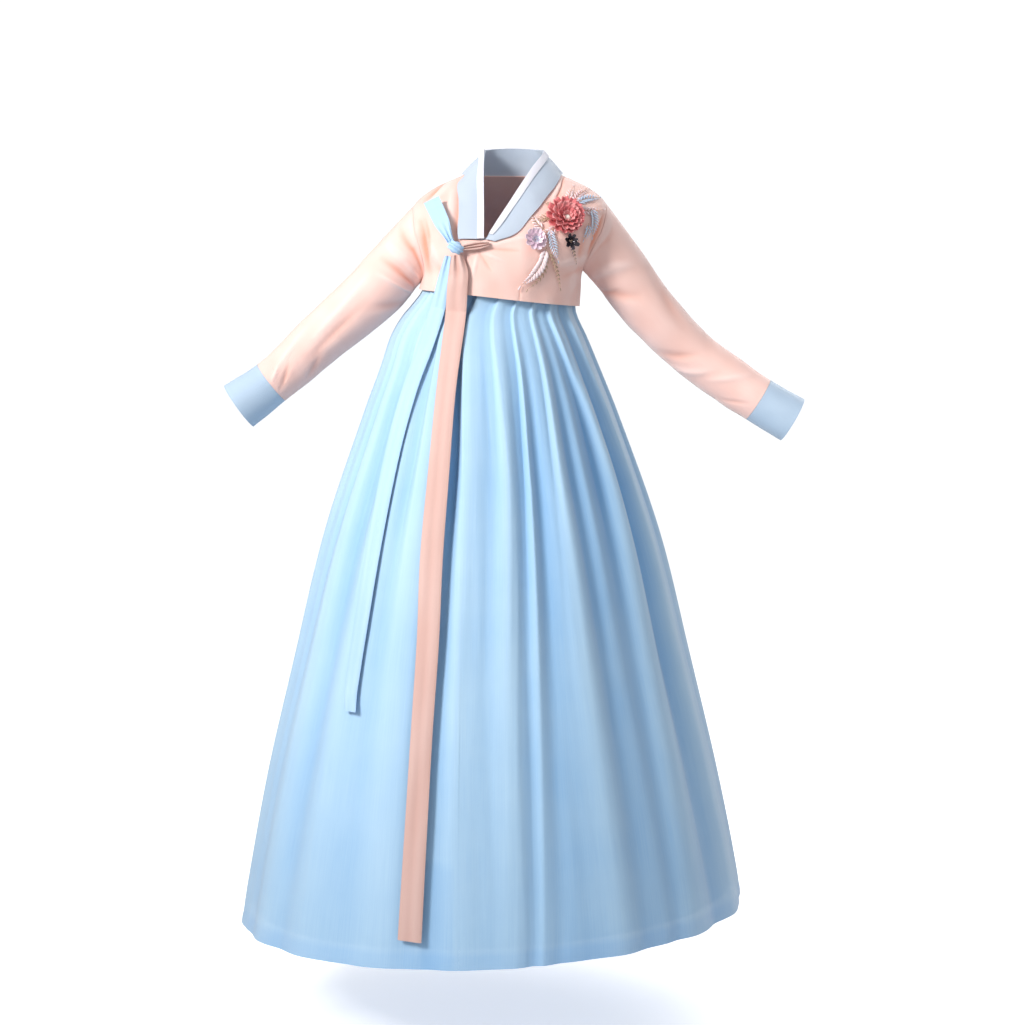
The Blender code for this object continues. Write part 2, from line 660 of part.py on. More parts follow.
add_jacket_body(peach_cloth)
add_sleeve("sleeve_left", "cuff_left", ARM_LEFT, 1, peach_cloth, blue_cloth)
add_sleeve("sleeve_right", "cuff_right", ARM_RIGHT, -1, peach_cloth, blue_cloth)
add_collar(blue_cloth, white_cloth)
add_skirt(organza, lining_cloth, white_cloth)
add_bow(peach_cloth, blue_cloth)
add_applique(coral_petal, lilac_petal, dark_petal, silver_thread)
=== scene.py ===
"""A worn Korean hanbok: a high pleated chima, a short wrapped jeogori, its ribbon bow and flowers.

Metres, +Z up. The front faces -Y, the wearer's left is +X, and the origin is the middle of the
neck at shoulder height.
"""

import math
from collections import namedtuple

import bpy
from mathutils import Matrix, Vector, noise


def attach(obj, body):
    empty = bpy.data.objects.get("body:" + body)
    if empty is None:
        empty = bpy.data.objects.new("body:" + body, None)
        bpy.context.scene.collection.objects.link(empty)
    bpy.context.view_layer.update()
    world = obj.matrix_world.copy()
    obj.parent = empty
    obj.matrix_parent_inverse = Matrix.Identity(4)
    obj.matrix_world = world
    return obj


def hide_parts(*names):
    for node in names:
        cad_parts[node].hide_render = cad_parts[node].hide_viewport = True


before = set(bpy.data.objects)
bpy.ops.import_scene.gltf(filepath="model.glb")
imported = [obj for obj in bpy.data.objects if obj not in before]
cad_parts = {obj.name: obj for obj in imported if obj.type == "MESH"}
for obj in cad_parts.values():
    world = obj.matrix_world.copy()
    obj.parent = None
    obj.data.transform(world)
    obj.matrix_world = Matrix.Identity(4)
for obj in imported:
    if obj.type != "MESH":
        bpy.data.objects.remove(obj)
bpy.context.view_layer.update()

# The studio. A white paper sweep runs from under the hem up behind the dress. A gridded lamp
# stands high in front on the wearer's right, with a faint one opposite and one behind.
FLOOR_Z, SWEEP_SIZE, SWEEP_HEIGHT, SWEEP_ROUND = -1.42, 16.0, 7.0, 2.5
PAPER_WHITE, PAPER_GLOW, AIR_GLOW = 0.93, 0.55, 0.60
bpy.ops.object.select_all(action="DESELECT")
bpy.ops.mesh.primitive_plane_add(size=SWEEP_SIZE, location=(0, -1, FLOOR_Z))
sweep = bpy.context.object
sweep.name = "paper_sweep"
bpy.ops.object.transform_apply()
for edge in sweep.data.edges:
    edge.select = all(sweep.data.vertices[i].co.y > 0 for i in edge.vertices)
bpy.ops.object.mode_set(mode="EDIT")
bpy.context.tool_settings.mesh_select_mode = (False, True, False)
bpy.ops.mesh.extrude_region_move(TRANSFORM_OT_translate={"value": (0, 0, SWEEP_HEIGHT)})
bpy.ops.object.mode_set(mode="OBJECT")
for edge in sweep.data.edges:
    ends = [sweep.data.vertices[i].co for i in edge.vertices]
    edge.select = all(end.y > 0 and end.z < FLOOR_Z + 0.01 for end in ends)
bpy.ops.object.mode_set(mode="EDIT")
bpy.ops.mesh.bevel(offset=SWEEP_ROUND, segments=24)
bpy.ops.object.mode_set(mode="OBJECT")
sweep.data.shade_smooth()
paper = bpy.data.materials.new("studio_paper")
paper.use_nodes = True
paper_shader = paper.node_tree.nodes["Principled BSDF"]
paper_shader.inputs["Base Color"].default_value = (PAPER_WHITE, PAPER_WHITE, PAPER_WHITE, 1)
paper_shader.inputs["Roughness"].default_value = 1.0
paper_shader.inputs["Specular IOR Level"].default_value = 0.0
paper_shader.inputs["Emission Color"].default_value = (1, 1, 1, 1)
paper_shader.inputs["Emission Strength"].default_value = PAPER_GLOW
sweep.data.materials.append(paper)
# The paper is seen, but its glow is kept off the cloth, which the lamps alone light.
sweep.visible_diffuse = False
sweep.visible_glossy = False

CAMERA_PLACE, CAMERA_DROP, LENS, SENSOR = (0.0, -4.3, -0.15), 0.421, 88.86, 36
camera = bpy.data.objects.new("camera", bpy.data.cameras.new("camera"))
bpy.context.scene.collection.objects.link(camera)
camera.location = CAMERA_PLACE
camera.rotation_euler = (math.radians(90) - math.atan2(CAMERA_DROP, -CAMERA_PLACE[1]), 0, 0)
camera.data.sensor_width = SENSOR
camera.data.lens = LENS
bpy.context.scene.camera = camera
bpy.context.scene.view_settings.view_transform = "Standard"

Lamp = namedtuple("Lamp", "name place size spread watts colour")
LIT_SPOT = Vector((-0.05, 0, -0.3))
for lamp in (
    Lamp("key_lamp", (-2.9, -2.5, 1.7), 1.2, 50, 18.5, (1.0, 0.985, 0.96)),
    Lamp("fill_lamp", (2.6, -3.4, 0.4), 2.5, 180, 4, (0.90, 0.94, 1.0)),
    Lamp("back_lamp", (1.8, 2.8, 1.5), 2.0, 180, 60, (1.0, 1.0, 1.0)),
):
    light = bpy.data.objects.new(lamp.name, bpy.data.lights.new(lamp.name, "AREA"))
    bpy.context.scene.collection.objects.link(light)
    light.location = lamp.place
    light.rotation_euler = (LIT_SPOT - light.location).to_track_quat("-Z", "Y").to_euler()
    light.data.size = lamp.size
    light.data.spread = math.radians(lamp.spread)
    light.data.energy = lamp.watts
    light.data.color = lamp.colour
world = bpy.context.scene.world or bpy.data.worlds.new("studio_air")
bpy.context.scene.world = world
world.use_nodes = True
air = world.node_tree.nodes["Background"]
air.inputs["Color"].default_value = (0.94, 0.96, 1.0, 1)
air.inputs["Strength"].default_value = AIR_GLOW


# The chest band: a straight doubled strip of white cotton that the skirt's pleats are sewn to. It
# is tied round the chest under the jeogori, and is plain because nothing of it shows.
Section = namedtuple("Section", "z centre half_width front back square")
SKIRT = [Section(*row) for row in (
    (-1.275, -0.035, 0.433, 0.418, 0.405, 2.0),
    (-1.200, -0.033, 0.424, 0.408, 0.392, 2.0),
    (-1.000, -0.035, 0.385, 0.365, 0.350, 2.0),
    (-0.800, -0.036, 0.337, 0.315, 0.300, 2.0),
    (-0.600, -0.036, 0.287, 0.262, 0.250, 2.0),
    (-0.400, -0.037, 0.217, 0.201, 0.190, 2.0),
    (-0.320, -0.038, 0.186, 0.171, 0.158, 2.0),
    (-0.270, -0.040, 0.167, 0.146, 0.134, 2.1),
    (-0.235, -0.038, 0.1485, 0.1225, 0.109, 2.2),
    (-0.220, -0.033, 0.1405, 0.1145, 0.0985, 2.2),
    (-0.190, -0.021, 0.1305, 0.1110, 0.0950, 2.3),
    (-0.145, -0.018, 0.1240, 0.1080, 0.0930, 2.3),
)]
SKIRT_TOP, SKIRT_HEM, HEM_TILT = -0.150, -1.2525, 0.0175
BAND_HEIGHT, BAND_WALL, BAND_INSET, SEAM_GAP = 0.045, 0.0020, 0.0060, 0.0003
BAND_ROUND = 0.74
WHITE, WHITE_DEEP = (0.86, 0.85, 0.92), (0.66, 0.66, 0.78)
WELD, SHARP_ANGLE = 0.00002, 55


def smooth(rows, at, column):
    """One column of a table at a value of its first column, on a curve through the rows."""
    last = len(rows) - 1
    at = min(max(at, rows[0][0]), rows[last][0])
    low = 0
    while low < last - 1 and rows[low + 1][0] <= at:
        low += 1
    step = rows[low + 1][0] - rows[low][0]
    share = (at - rows[low][0]) / step

    def slope(i):
        before, after = rows[max(i - 1, 0)], rows[min(i + 1, last)]
        return (getattr(after, column) - getattr(before, column)) / (after[0] - before[0])

    start, end = getattr(rows[low], column), getattr(rows[low + 1], column)
    leave, arrive = slope(low) * step, slope(low + 1) * step
    square, cube = share**2, share**3
    return (
        (2 * cube - 3 * square + 1) * start
        + (cube - 2 * square + share) * leave
        + (3 * square - 2 * cube) * end
        + (cube - square) * arrive
    )


def clamp(share):
    return min(max(share, 0.0), 1.0)


def ease(share):
    share = clamp(share)
    return share * share * (3 - 2 * share)


def ring_point(sections, angle, z, out=0.0):
    """A point of a body section at an angle from the front (degrees, +X at 90), moved out."""
    turn = math.radians(angle)
    side, ahead = math.sin(turn), math.cos(turn)
    width = smooth(sections, z, "half_width") + out
    depth = smooth(sections, z, "front" if ahead > 0 else "back") + out
    power = smooth(sections, z, "square")
    radius = (abs(side / width) ** power + abs(ahead / depth) ** power) ** (-1 / power)
    return (smooth(sections, z, "centre") + radius * side, -radius * ahead, z)


def lay_cloth(name, squares, flat, place, wall, grow=-1.0, ring=False):
    """A sheet of fine squares, cut flat and then laid point by point, with its wall on one side.

    place gives a point, and how much painted shade it takes (chiefly by how deep in a fold it
    lies), for the shares across and along the cut.
    """
    bpy.ops.object.select_all(action="DESELECT")
    bpy.ops.mesh.primitive_grid_add(
        x_subdivisions=squares[0], y_subdivisions=squares[1], size=2, calc_uvs=True
    )
    piece = bpy.context.object
    piece.name = piece.data.name = name
    for corner in piece.data.uv_layers.active.data:
        corner.uv = (corner.uv[0] * flat[0], corner.uv[1] * flat[1])
    # The fold attribute holds the painted shade of each point.
    fold = piece.data.attributes.new("fold", "FLOAT", "POINT")
    for vertex in piece.data.vertices:
        point, deep = place((vertex.co.x + 1) / 2, (vertex.co.y + 1) / 2)
        vertex.co = point
        fold.data[vertex.index].value = deep
    if ring:
        bpy.ops.object.mode_set(mode="EDIT")
        bpy.ops.mesh.select_all(action="SELECT")
        bpy.ops.mesh.remove_doubles(threshold=WELD)
        bpy.ops.object.mode_set(mode="OBJECT")
    solidify = piece.modifiers.new("wall", "SOLIDIFY")
    solidify.thickness = wall
    solidify.offset = grow
    bpy.ops.object.modifier_apply(modifier="wall")
    bpy.ops.object.shade_smooth_by_angle(angle=math.radians(SHARP_ANGLE))
    return piece


def wire(tree, source, target, socket):
    tree.links.new(source, target.inputs[socket])


def start_group(name, inputs, outputs):
    group = bpy.data.node_groups.new(name, "ShaderNodeTree")
    for title, kind in inputs:
        group.interface.new_socket(title, in_out="INPUT", socket_type=kind)
    for title, kind in outputs:
        group.interface.new_socket(title, in_out="OUTPUT", socket_type=kind)
    return group, group.nodes.new("NodeGroupInput"), group.nodes.new("NodeGroupOutput")


def add_math(tree, operation, first, second):
    node = tree.nodes.new("ShaderNodeMath")
    node.operation = operation
    for number, value in enumerate((first, second)):
        if isinstance(value, (int, float)):
            node.inputs[number].default_value = value
        elif value is not None:
            tree.links.new(value, node.inputs[number])
    return node.outputs[0]


# The weave: warp and weft threads that cross over and under, and the uneven thickness of a spun
# thread, which shows as short streaks along the cloth.
weave, weave_in, weave_out = start_group(
    "woven_threads",
    [("Threads", "NodeSocketFloat"), ("Streak Width", "NodeSocketFloat")],
    [("Height", "NodeSocketFloat"), ("Streaks", "NodeSocketFloat")],
)
cut_place = weave.nodes.new("ShaderNodeTexCoord")
cut_axes = weave.nodes.new("ShaderNodeSeparateXYZ")
wire(weave, cut_place.outputs["UV"], cut_axes, 0)
beat = add_math(weave, "MULTIPLY", weave_in.outputs["Threads"], 2 * math.pi)
warp = add_math(weave, "SINE", add_math(weave, "MULTIPLY", cut_axes.outputs[0], beat), None)
weft = add_math(weave, "SINE", add_math(weave, "MULTIPLY", cut_axes.outputs[1], beat), None)
wire(weave, add_math(weave, "MULTIPLY", warp, weft), weave_out, "Height")
stretch = weave.nodes.new("ShaderNodeCombineXYZ")
across = add_math(weave, "DIVIDE", cut_axes.outputs[0], weave_in.outputs["Streak Width"])
wire(weave, across, stretch, 0)
wire(weave, add_math(weave, "MULTIPLY", cut_axes.outputs[1], 9.0), stretch, 1)
streaks = weave.nodes.new("ShaderNodeTexNoise")
streaks.inputs["Scale"].default_value = 1.0
streaks.inputs["Detail"].default_value = 2.0
wire(weave, stretch.outputs[0], streaks, "Vector")
wire(weave, streaks.outputs["Fac"], weave_out, "Streaks")

# Painted shading of the cloth: its colour blends from a lit copy to a shaded copy, with a painted
# highlight where it stands proud and painted shade down in the folds, and is faintly uneven over
# its width.
tone, tone_in, tone_out = start_group(
    "dye_and_painted_shade",
    [
        ("Lit", "NodeSocketColor"),
        ("Deep", "NodeSocketColor"),
        ("Fold", "NodeSocketFloat"),
        ("Streaks", "NodeSocketFloat"),
        ("Unevenness", "NodeSocketFloat"),
    ],
    [("Colour", "NodeSocketColor")],
)
tone_place = tone.nodes.new("ShaderNodeTexCoord")
cloud = tone.nodes.new("ShaderNodeTexNoise")
cloud.inputs["Scale"].default_value = 9.0
cloud.inputs["Detail"].default_value = 3.0
wire(tone, tone_place.outputs["Object"], cloud, "Vector")
drift = add_math(tone, "ADD", cloud.outputs["Fac"], tone_in.outputs["Streaks"])
drift = add_math(tone, "SUBTRACT", drift, 1.0)
drift = add_math(tone, "MULTIPLY", drift, tone_in.outputs["Unevenness"])
depth = add_math(tone, "ADD", tone_in.outputs["Fold"], drift)
blend = tone.nodes.new("ShaderNodeMix")
blend.data_type = "RGBA"
tone.links.new(depth, blend.inputs["Factor"])
tone.links.new(tone_in.outputs["Lit"], blend.inputs[6])
tone.links.new(tone_in.outputs["Deep"], blend.inputs[7])
wire(tone, blend.outputs[2], tone_out, "Colour")


# A cloth's finish: its lit colour, the shaded colour of its painted shade, threads per metre,
# streak width, unevenness, bump, roughness, sheen and softness.
Finish = namedtuple("Finish", "lit deep threads streak uneven bump rough sheen soft")
THREAD_HEIGHT, SHEEN_ROUGH = 0.0004, 0.45


def start_dye_and_shade(name, lit, deep, uneven):
    """A material in a lit and a shaded colour, with painted shade where the piece's fold attribute
    says that it lies deep.
    """
    material = bpy.data.materials.new(name)
    material.use_nodes = True
    tree = material.node_tree
    shader = tree.nodes["Principled BSDF"]
    fold = tree.nodes.new("ShaderNodeAttribute")
    fold.attribute_name = "fold"
    colour_and_shade = tree.nodes.new("ShaderNodeGroup")
    colour_and_shade.node_tree = tone
    colour_and_shade.inputs["Lit"].default_value = (*lit, 1)
    colour_and_shade.inputs["Deep"].default_value = (*deep, 1)
    colour_and_shade.inputs["Unevenness"].default_value = uneven
    wire(tree, fold.outputs["Fac"], colour_and_shade, "Fold")
    wire(tree, colour_and_shade.outputs["Colour"], shader, "Base Color")
    return material, tree, shader, colour_and_shade


def add_bump(tree, height, shader, strength, distance):
    bump = tree.nodes.new("ShaderNodeBump")
    bump.inputs["Strength"].default_value = strength
    bump.inputs["Distance"].default_value = distance
    wire(tree, height, bump, "Height")
    wire(tree, bump.outputs["Normal"], shader, "Normal")


def dye_and_shade_cloth(name, *values):
    """A woven cloth's material, with its lit and shaded colours for painted shade, its thread count
    and gloss.
    """
    finish = Finish(*values)
    material, tree, shader, colour_and_shade = start_dye_and_shade(name, finish.lit, finish.deep, finish.uneven)
    threads = tree.nodes.new("ShaderNodeGroup")
    threads.node_tree = weave
    threads.inputs["Threads"].default_value = finish.threads
    threads.inputs["Streak Width"].default_value = finish.streak
    wire(tree, threads.outputs["Streaks"], colour_and_shade, "Streaks")
    add_bump(tree, threads.outputs["Height"], shader, finish.bump, THREAD_HEIGHT)
    shader.inputs["Roughness"].default_value = finish.rough
    shader.inputs["Sheen Weight"].default_value = finish.sheen
    shader.inputs["Sheen Roughness"].default_value = SHEEN_ROUGH
    shader.inputs["Specular IOR Level"].default_value = finish.soft
    return material


def sew_in(piece, material, node):
    """What the frame is told of a piece of cloth that takes the place of its solid."""
    piece.data.materials.append(material)
    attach(piece, "root")
    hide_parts(node)


white_cotton = dye_and_shade_cloth(
    "white_cotton", WHITE, WHITE_DEEP, 1500, 0.0011, 0.25, 0.35, 0.7, 0.25, 0.3
)


def band_place(across, up):
    angle = 360 * across
    x, y, _ = ring_point(SKIRT, angle, SKIRT_TOP, -BAND_INSET)
    return (x, y, SKIRT_TOP + SEAM_GAP + up * BAND_HEIGHT), 0.3


band = lay_cloth(
    "chest_band", (160, 8), (BAND_ROUND, BAND_HEIGHT), band_place, BAND_WALL, 1.0, ring=True
)
sew_in(band, white_cotton, "chima_band")


# The skirt: three widths of pale blue organza, laid in knife pleats at the band and falling free
# below, over a lining of the same blue. The lining is a little shorter, so the hem is sheer.
Pleat = namedtuple("Pleat", "top mid hem top_deep mid_deep hem_deep")
PLEATS = [Pleat(*row) for row in (
    (-17, -11, -8, 0.0060, 0.012, 0.005),
    (2.5, 7, 5, 0.0045, 0.006, 0.002),
    (18.5, 17, 12, 0.0045, 0.014, 0.009),
    (33, 30, 31, 0.0035, 0.009, 0.006),
    (46, 56, 53, 0.0050, 0.017, 0.009),
    (64, 70, 73, 0.0040, 0.011, 0.006),
    (80, 87, 93, 0.0040, 0.010, 0.006),
    (96, 102, 106, 0.0030, 0.014, 0.007),
    (113, 117, 120, 0.0040, 0.011, 0.014),
    (128, 131, 133, 0.0050, 0.015, 0.010),
    (144, 145, 147, 0.0030, 0.010, 0.012),
    (158, 160, 161, 0.0040, 0.014, 0.014),
    (175, 174, 175, 0.0050, 0.012, 0.009),
    (190, 190, 189, 0.0030, 0.013, 0.013),
    (205, 203, 204, 0.0040, 0.010, 0.011),
    (221, 219, 217, 0.0050, 0.015, 0.014),
    (236, 234, 232, 0.0030, 0.011, 0.009),
    (252, 249, 247, 0.0040, 0.013, 0.008),
    (267, 264, 262, 0.0030, 0.010, 0.007),
    (283, 280, 278, 0.0040, 0.009, 0.007),
    (299, 297, 295, 0.0030, 0.008, 0.006),
    (313, 313, 313, 0.0040, 0.009, 0.005),
    (328, 330, 332, 0.0030, 0.008, 0.006),
)]
LIP_TOP, LIP_HEM = 0.10, 0.42  # share of each pleat taken by its steep side
MID_SHARE = 0.33
WIDTH_SEAMS = (0, 8, 16)
SEAM_AT = 0.08
SKIRT_WALL, LINING_INSET, LINING_HEM = 0.0008, 0.022, 0.028
# Softer folds between the pleats: angle at the band, a third down and at the hem, half width in
# degrees, and how far each stands proud (or sinks) at those heights.
Fold = namedtuple("Fold", "top mid hem wide top_rise mid_rise hem_rise")
FOLDS = [Fold(*row) for row in (
    (-22, -15, -13, 2.6, -0.0050, -0.0095, -0.0030),
    (-7, -4, -2, 2.6, 0.0000, 0.0014, 0.0008),
    (11, 12, 10, 2.4, 0.0000, -0.0020, -0.0006),
    (22, 20, 15, 3.2, -0.0010, -0.0120, -0.0060),
    (28, 26, 24, 2.2, 0.0000, 0.0026, 0.0010),
    (38, 36, 37, 3.4, -0.0020, -0.0130, -0.0050),
    (42, 42, 44, 2.4, 0.0000, 0.0026, 0.0015),
    (52, 50, 47, 2.4, -0.0010, -0.0040, -0.0025),
    (59, 63, 62, 3.0, -0.0030, -0.0090, -0.0030),
    (71, 79, 82, 2.6, 0.0020, 0.0040, 0.0015),
    (88, 95, 99, 2.6, -0.0020, -0.0045, -0.0020),
    (104, 109, 113, 2.4, 0.0015, 0.0040, 0.0030),
    (121, 125, 127, 3.0, -0.0025, -0.0050, -0.0050),
    (138, 139, 140, 2.2, 0.0015, 0.0035, 0.0030),
    (152, 153, 154, 2.6, -0.0020, -0.0055, -0.0045),
    (168, 167, 168, 2.4, 0.0018, 0.0035, 0.0030),
    (184, 183, 182, 3.0, -0.0025, -0.0060, -0.0050),
    (199, 197, 196, 2.2, 0.0015, 0.0040, 0.0030),
    (214, 212, 211, 2.8, -0.0022, -0.0050, -0.0045),
    (229, 227, 224, 2.4, 0.0015, 0.0035, 0.0028),
    (245, 242, 240, 2.8, -0.0025, -0.0050, -0.0045),
    (260, 257, 255, 2.4, 0.0015, 0.0035, 0.0012),
    (276, 272, 270, 2.8, -0.0020, -0.0050, -0.0020),
    (292, 289, 286, 2.4, 0.0015, 0.0030, 0.0012),
    (306, 305, 304, 2.8, -0.0020, -0.0045, -0.0020),
    (320, 321, 322, 2.2, 0.0012, 0.0030, 0.0010),
    (334, 339, 341, 2.4, -0.0015, -0.0035, -0.0012),
)]
# The organza's lit colour, and the shaded colour painted into its folds and towards its hem.
SKY_LIT, SKY_SHADED = (0.54, 0.77, 0.96), (0.23, 0.49, 0.83)
LINING_LIT, LINING_DEEP = (0.40, 0.64, 0.90), (0.30, 0.50, 0.80)


def skirt_z(angle, down):
    hem = SKIRT_HEM + HEM_TILT * math.sin(math.radians(angle))
    return SKIRT_TOP + (hem - SKIRT_TOP) * down


def fall_value(row, down, names):
    top, mid, hem = (getattr(row, name) for name in names)
    if down < MID_SHARE:
        return top + (mid - top) * ease(down / MID_SHARE)
    return mid + (hem - mid) * (down - MID_SHARE) / (1 - MID_SHARE)


def skirt_place(turn, down, out=0.0, pleated=1.0):
    """A point of the skirt. The turn counts pleats: 2.5 is halfway between crests 2 and 3."""
    index = int(math.floor(turn)) % len(PLEATS)
    share = turn - math.floor(turn)
    here, after = PLEATS[index], PLEATS[(index + 1) % len(PLEATS)]
    start = fall_value(here, down, ("top", "mid", "hem"))
    end = fall_value(after, down, ("top", "mid", "hem"))
    end += 360 * (end < start)
    angle = start + (end - start) * share
    deep = ("top_deep", "mid_deep", "hem_deep")
    depth = fall_value(here, down, deep) * (1 - share) + fall_value(after, down, deep) * share
    lip = LIP_TOP + (LIP_HEM - LIP_TOP) * ease(down * 1.6)
    if share < 1 - lip:
        fall = (1 - math.cos(math.pi * share / (1 - lip))) / 2
    else:
        fall = (1 + math.cos(math.pi * (share - 1 + lip) / lip)) / 2
    sink = depth * fall
    for fold in FOLDS:
        crest = fall_value(fold, down, ("top", "mid", "hem"))
        away = (angle - crest + 180) % 360 - 180
        if abs(away) < fold.wide * 3:
            rise = fall_value(fold, down, ("top_rise", "mid_rise", "hem_rise"))
            sink -= rise * math.exp(-((away / fold.wide) ** 2))
    z = skirt_z(angle, down)
    return ring_point(SKIRT, angle, z, out - pleated * sink), sink


WIDTH_CUT, WIDTH_AREA = (0.88, 1.12), 0.70
PLEAT_AT_BAND, WIDTH_GAP, ORGANZA_COVER = 0.033, 0.00003, 0.84
CRUMPLE, FINE_CRUMPLE = 0.0016, 0.0005
HEM_ROLL, HEM_ROLL_RISE = 0.006, 0.0009
FOLD_TONE, FOLD_SHADE_GAIN, HEM_SHADE = 0.14, 42, 0.10
SHEER_FROM, SHEER_SOFT, SHEER_SHADE = 0.972, 0.008, 0.20
LAP_TOP, LAP_LEFT, LAP_RIGHT, LAP_SOFT, LAP_TONE = -1.092, -0.147, -0.090, 0.006, 0.16


def lay_width(name, first, last):
    def place(across, along):
        down = 1 - along
        turn = first + (last - first) * across
        crease = noise.noise(Vector((turn * 1.7, down * 2.2, 3.0))) * CRUMPLE
        fine = noise.noise(Vector((turn * 7.0, down * 5.0, 9.0))) * FINE_CRUMPLE
        roll = HEM_ROLL_RISE if along < HEM_ROLL / WIDTH_CUT[1] * 2 else 0.0
        point, sink = skirt_place(turn, down, (crease + fine) * ease(down * 3) + roll)
        # Painted shade, deeper down in the folds and paler on the crests, and darker towards the
        # hem.
        deep = FOLD_TONE + sink * FOLD_SHADE_GAIN * (0.75 + 0.5 * ease(1 - down))
        deep += HEM_SHADE * ease((down - 0.45) / 0.55)
        # Under its own hem the organza is sheer: the band below the lining takes painted shade for
        # the shadowed inside seen through it, and a darker patch is painted on the front where the
        # lining's lap is taken to show through.
        deep += SHEER_SHADE * ease((down - SHEER_FROM) / SHEER_SOFT)
        x, y, z = point
        lap = ease((LAP_TOP - z) / LAP_SOFT) * ease((x - LAP_LEFT) / LAP_SOFT)
        lap *= ease((LAP_RIGHT - x) / LAP_SOFT) * (y < 0)
        deep += LAP_TONE * lap
        return point, clamp(deep)

    return lay_cloth(name, (250, 110), WIDTH_CUT, place, SKIRT_WALL)


organza = dye_and_shade_cloth(
    "pale_blue_organza", SKY_LIT, SKY_SHADED, 1100, 0.0016, 0.35, 0.3, 0.42, 0.5, 0.35
)
organza.node_tree.nodes["Principled BSDF"].inputs["Alpha"].default_value = ORGANZA_COVER
gap = WIDTH_GAP / PLEAT_AT_BAND
edges = [seam + SEAM_AT for seam in WIDTH_SEAMS + (len(PLEATS),)]
for number, node in enumerate(("chima_front_left", "chima_back", "chima_front_right")):
    width = lay_width(f"{node}_organza", edges[number] + gap, edges[number + 1] - gap)
    sew_in(width, organza, node)


def lining_place(across, along):
    down = 1 - along
    inset = LINING_INSET * (0.75 + 0.25 * ease(down / 0.15))
    (x, y, z), _ = skirt_place(across * len(PLEATS), down, -inset, 0.25)
    return (x, y, z + LINING_HEM * ease((down - 0.8) / 0.2)), 0.4


LINING_CUT, LINING_AREA = (2.52, 1.09), 1.8
lining_cloth = dye_and_shade_cloth(
    "lining_cloth", LINING_LIT, LINING_DEEP, 1400, 0.0012, 0.2, 0.2, 0.6, 0.2, 0.3
)
lining = lay_cloth("chima_lining_cloth", (276, 60), LINING_CUT, lining_place, 0.0008, ring=True)
sew_in(
    lining, lining_cloth, "chima_lining",
)


# The jeogori's body: two fronts and a back of peach satin, sewn at the sides and shoulders. The
# wearer's left front laps over the right one and stands a little off it. The hem is turned in.
TORSO = [Section(*row) for row in (
    (-0.225, -0.024, 0.136, 0.116, 0.100, 2.3),
    (-0.190, -0.021, 0.135, 0.118, 0.101, 2.4),
    (-0.160, -0.016, 0.133, 0.119, 0.103, 2.5),
    (-0.125, -0.011, 0.148, 0.114, 0.106, 2.7),
    (-0.090, -0.007, 0.164, 0.100, 0.106, 2.8),
    (-0.060, -0.004, 0.166, 0.080, 0.099, 2.7),
    (-0.040, -0.002, 0.153, 0.062, 0.088, 2.6),
    (-0.020, -0.001, 0.125, 0.046, 0.075, 2.4),
    (0.000, 0.000, 0.080, 0.030, 0.058, 2.2),
)]
Level = namedtuple("Level", "row z_left z_right lap_edge under_edge hole")
LEVELS = [Level(*row) for row in (
    (0, -0.2195, -0.1910, -0.072, 0.008, 1.000),
    (1, -0.1900, -0.1860, -0.073, 0.008, 1.000),
    (2, -0.1600, -0.1800, -0.073, 0.008, 1.000),
    (3, -0.1500, -0.1660, -0.073, 0.008, 0.985),
    (4, -0.1380, -0.1500, -0.073, 0.008, 0.974),
    (5, -0.1240, -0.1340, -0.073, 0.006, 0.963),
    (6, -0.1080, -0.1160, -0.070, 0.000, 0.955),
    (7, -0.1035, -0.1115, -0.036, -0.078, 0.953),
    (8, -0.0920, -0.0990, 0.003, -0.081, 0.950),
    (9, -0.0760, -0.0820, 0.019, -0.082, 0.950),
    (10, -0.0600, -0.0660, 0.033, -0.082, 0.960),
    (11, -0.0420, -0.0480, 0.050, -0.082, 1.000),
    (12, -0.0300, -0.0330, 0.060, -0.082, 1.000),
    (13, -0.0180, -0.0190, 0.066, -0.080, 1.000),
    (14, -0.0080, -0.0080, 0.069, -0.074, 1.000),
    (15, 0.0000, 0.0000, 0.070, -0.070, 1.000),
)]
UNDERARM_ROW, SHOULDER_ROW, NECK_ROW = 2, 11, 15
JACKET_WALL, PANEL_TONE, PANEL_SHADE_GAIN, SEAM_HOLD = 0.0015, 0.22, 210, 14
LAP_LIFT, LAP_FROM, LAP_TO = 0.0034, 0.050, 0.014
# Peach satin's lit colour, and the orange of the painted shade in its creases.
PEACH_LIT, PEACH_SHADED = (0.94, 0.67, 0.61), (0.82, 0.34, 0.23)
